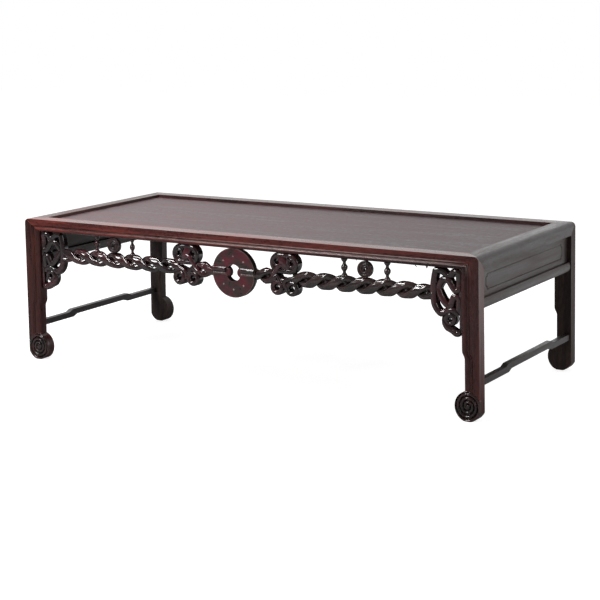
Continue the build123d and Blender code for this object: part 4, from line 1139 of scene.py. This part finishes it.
# %% Splinters
def sliver(x, lean_x, length, width):
    top = rail_under + 0.6
    y = -203.0
    corners = [(x - width / 2, y - 1, top), (x + width / 2, y - 1, top),
               (x + width / 2, y + 1, top), (x - width / 2, y + 1, top),
               (x + lean_x - 0.2, y, top - 0.6 - length), (x + lean_x + 0.2, y, top - 0.6 - length)]
    mesh = bpy.data.meshes.new("sliver")
    mesh.from_pydata([(a * mm, b * mm, c * mm) for a, b, c in corners], [],
                     [(3, 2, 1, 0), (0, 1, 5, 4), (1, 2, 5), (2, 3, 4, 5), (3, 0, 4)])
    return mesh


slivers = [sliver(*sizes) for sizes in (
    (221.0, 7.0, 3.2, 1.8), (254.0, -1.0, 3.0, 1.6), (364.5, 6.5, 5.6, 1.8),
    (387.5, 0.6, 5.4, 4.6), (-181.0, 1.5, 2.4, 1.6))]
sliver_mesh = worn_mesh(joined(slivers, "slivers"), 0.12, 1)
place_piece("rail_splinters", sliver_mesh, frame_long, "frame_wood")
print(len(slivers), "splinters")

# %% [markdown]
# ## Floor, lamps and backdrop
#
# The table stands on a pale floor in soft studio light. A large weak lamp hangs above and behind,
# to the left. Two narrow ones overhead put the glints on the ropes, a small strong one stands in
# front, and one lights the right end. The surroundings are white behind the table and dim in front
# of it, so that the polished top takes a pale sheen.

# %% Floor
floor_mesh = bpy.data.meshes.new("floor")
floor_mesh.from_pydata([(-6, -6, 0), (6, -6, 0), (6, 6, 0), (-6, 6, 0)], [], [(0, 1, 2, 3)])
floor = linked("floor", floor_mesh)
pale = bpy.data.materials.new("pale_floor")
pale.use_nodes = True
tree = pale.node_tree
tree.nodes.remove(tree.nodes["Principled BSDF"])
x, y, _ = axes(take(tree, "ShaderNodeTexCoord", output="Object"))
sheen = ramp(x * 0.35 + y, -0.1, 1.1, 0.0, 0.9, smooth=True)
mirror_ray = take(tree, "ShaderNodeLightPath", output="Is Glossy Ray")
mirror_light = take(tree, "ShaderNodeEmission", {"Strength": sheen * mirror_ray})
matt_paper = take(tree, "ShaderNodeBsdfDiffuse", {"Color": (0.32, 0.32, 0.32, 1)})
paper = take(tree, "ShaderNodeAddShader", {0: matt_paper, 1: mirror_light})
shadowed = take(tree, "ShaderNodeBsdfDiffuse", {"Color": (0.5, 0.5, 0.5, 1)})
glow = take(tree, "ShaderNodeEmission", {"Color": (1, 1, 1, 1), "Strength": 0.84})
seen = take(tree, "ShaderNodeAddShader", {0: shadowed, 1: glow})
camera_ray = take(tree, "ShaderNodeLightPath", output="Is Camera Ray")
surface = take(tree, "ShaderNodeMixShader", {0: camera_ray, 1: paper, 2: seen})
tree.links.new(surface.socket, tree.nodes["Material Output"].inputs["Surface"])
floor_mesh.materials.append(pale)
print("floor ready")


# %% Lamps
def soft_lamp(name, place, target, size, power):
    """Rectangular lamp of (width, height) in metres that looks from place to target."""
    lamp = bpy.data.lights.new(name, "AREA")
    lamp.shape = "RECTANGLE"
    lamp.size, lamp.size_y = size
    lamp.energy = power
    item = linked(name, lamp)
    item.location = place
    item.rotation_euler = (Vector(target) - Vector(place)).to_track_quat("-Z", "Y").to_euler()


soft_lamp("lamp_above", (-1.2, 0.5, 1.75), (-0.2, 0, 0.2), (1.4, 1.2), 7.0)
soft_lamp("lamp_glint", (-0.38, -0.42, 1.2), (-0.3, -0.2, 0.2), (0.45, 0.05), 5.0)
soft_lamp("lamp_glint_right", (-0.62, -0.38, 1.15), (0.25, -0.2, 0.2), (0.3, 0.16), 2.5)
soft_lamp("lamp_front", (-0.95, -2.1, 1.5), (0, 0, 0.15), (0.6, 0.6), 23)
soft_lamp("lamp_right", (2.35, -0.5, 1.2), (0.4, 0, 0.15), (1.0, 1.2), 12)
print("lamps", len(bpy.data.lights))

# %% Surroundings
world = bpy.data.worlds.new("surroundings")
bpy.context.scene.world = world
world.use_nodes = True
tree = world.node_tree
facing = take(tree, "ShaderNodeTexCoord", output="Generated")
toward_back = take(tree, "ShaderNodeVectorMath", {0: facing, 1: (-0.40, 0.917, 0.0)}, "Value",
                   operation="DOT_PRODUCT")
brightness = ramp(toward_back, -0.2, 0.95, 0.10, 1.15, smooth=True)
seen_straight = calc("MAXIMUM", take(tree, "ShaderNodeLightPath", output="Is Camera Ray"),
                     take(tree, "ShaderNodeLightPath", output="Is Transmission Ray"))
backdrop = tree.nodes["Background"]
tree.links.new(blend(seen_straight, brightness, 1.0).socket, backdrop.inputs["Strength"])
backdrop.inputs["Color"].default_value = (1, 1, 1, 1)
print("surroundings ready")
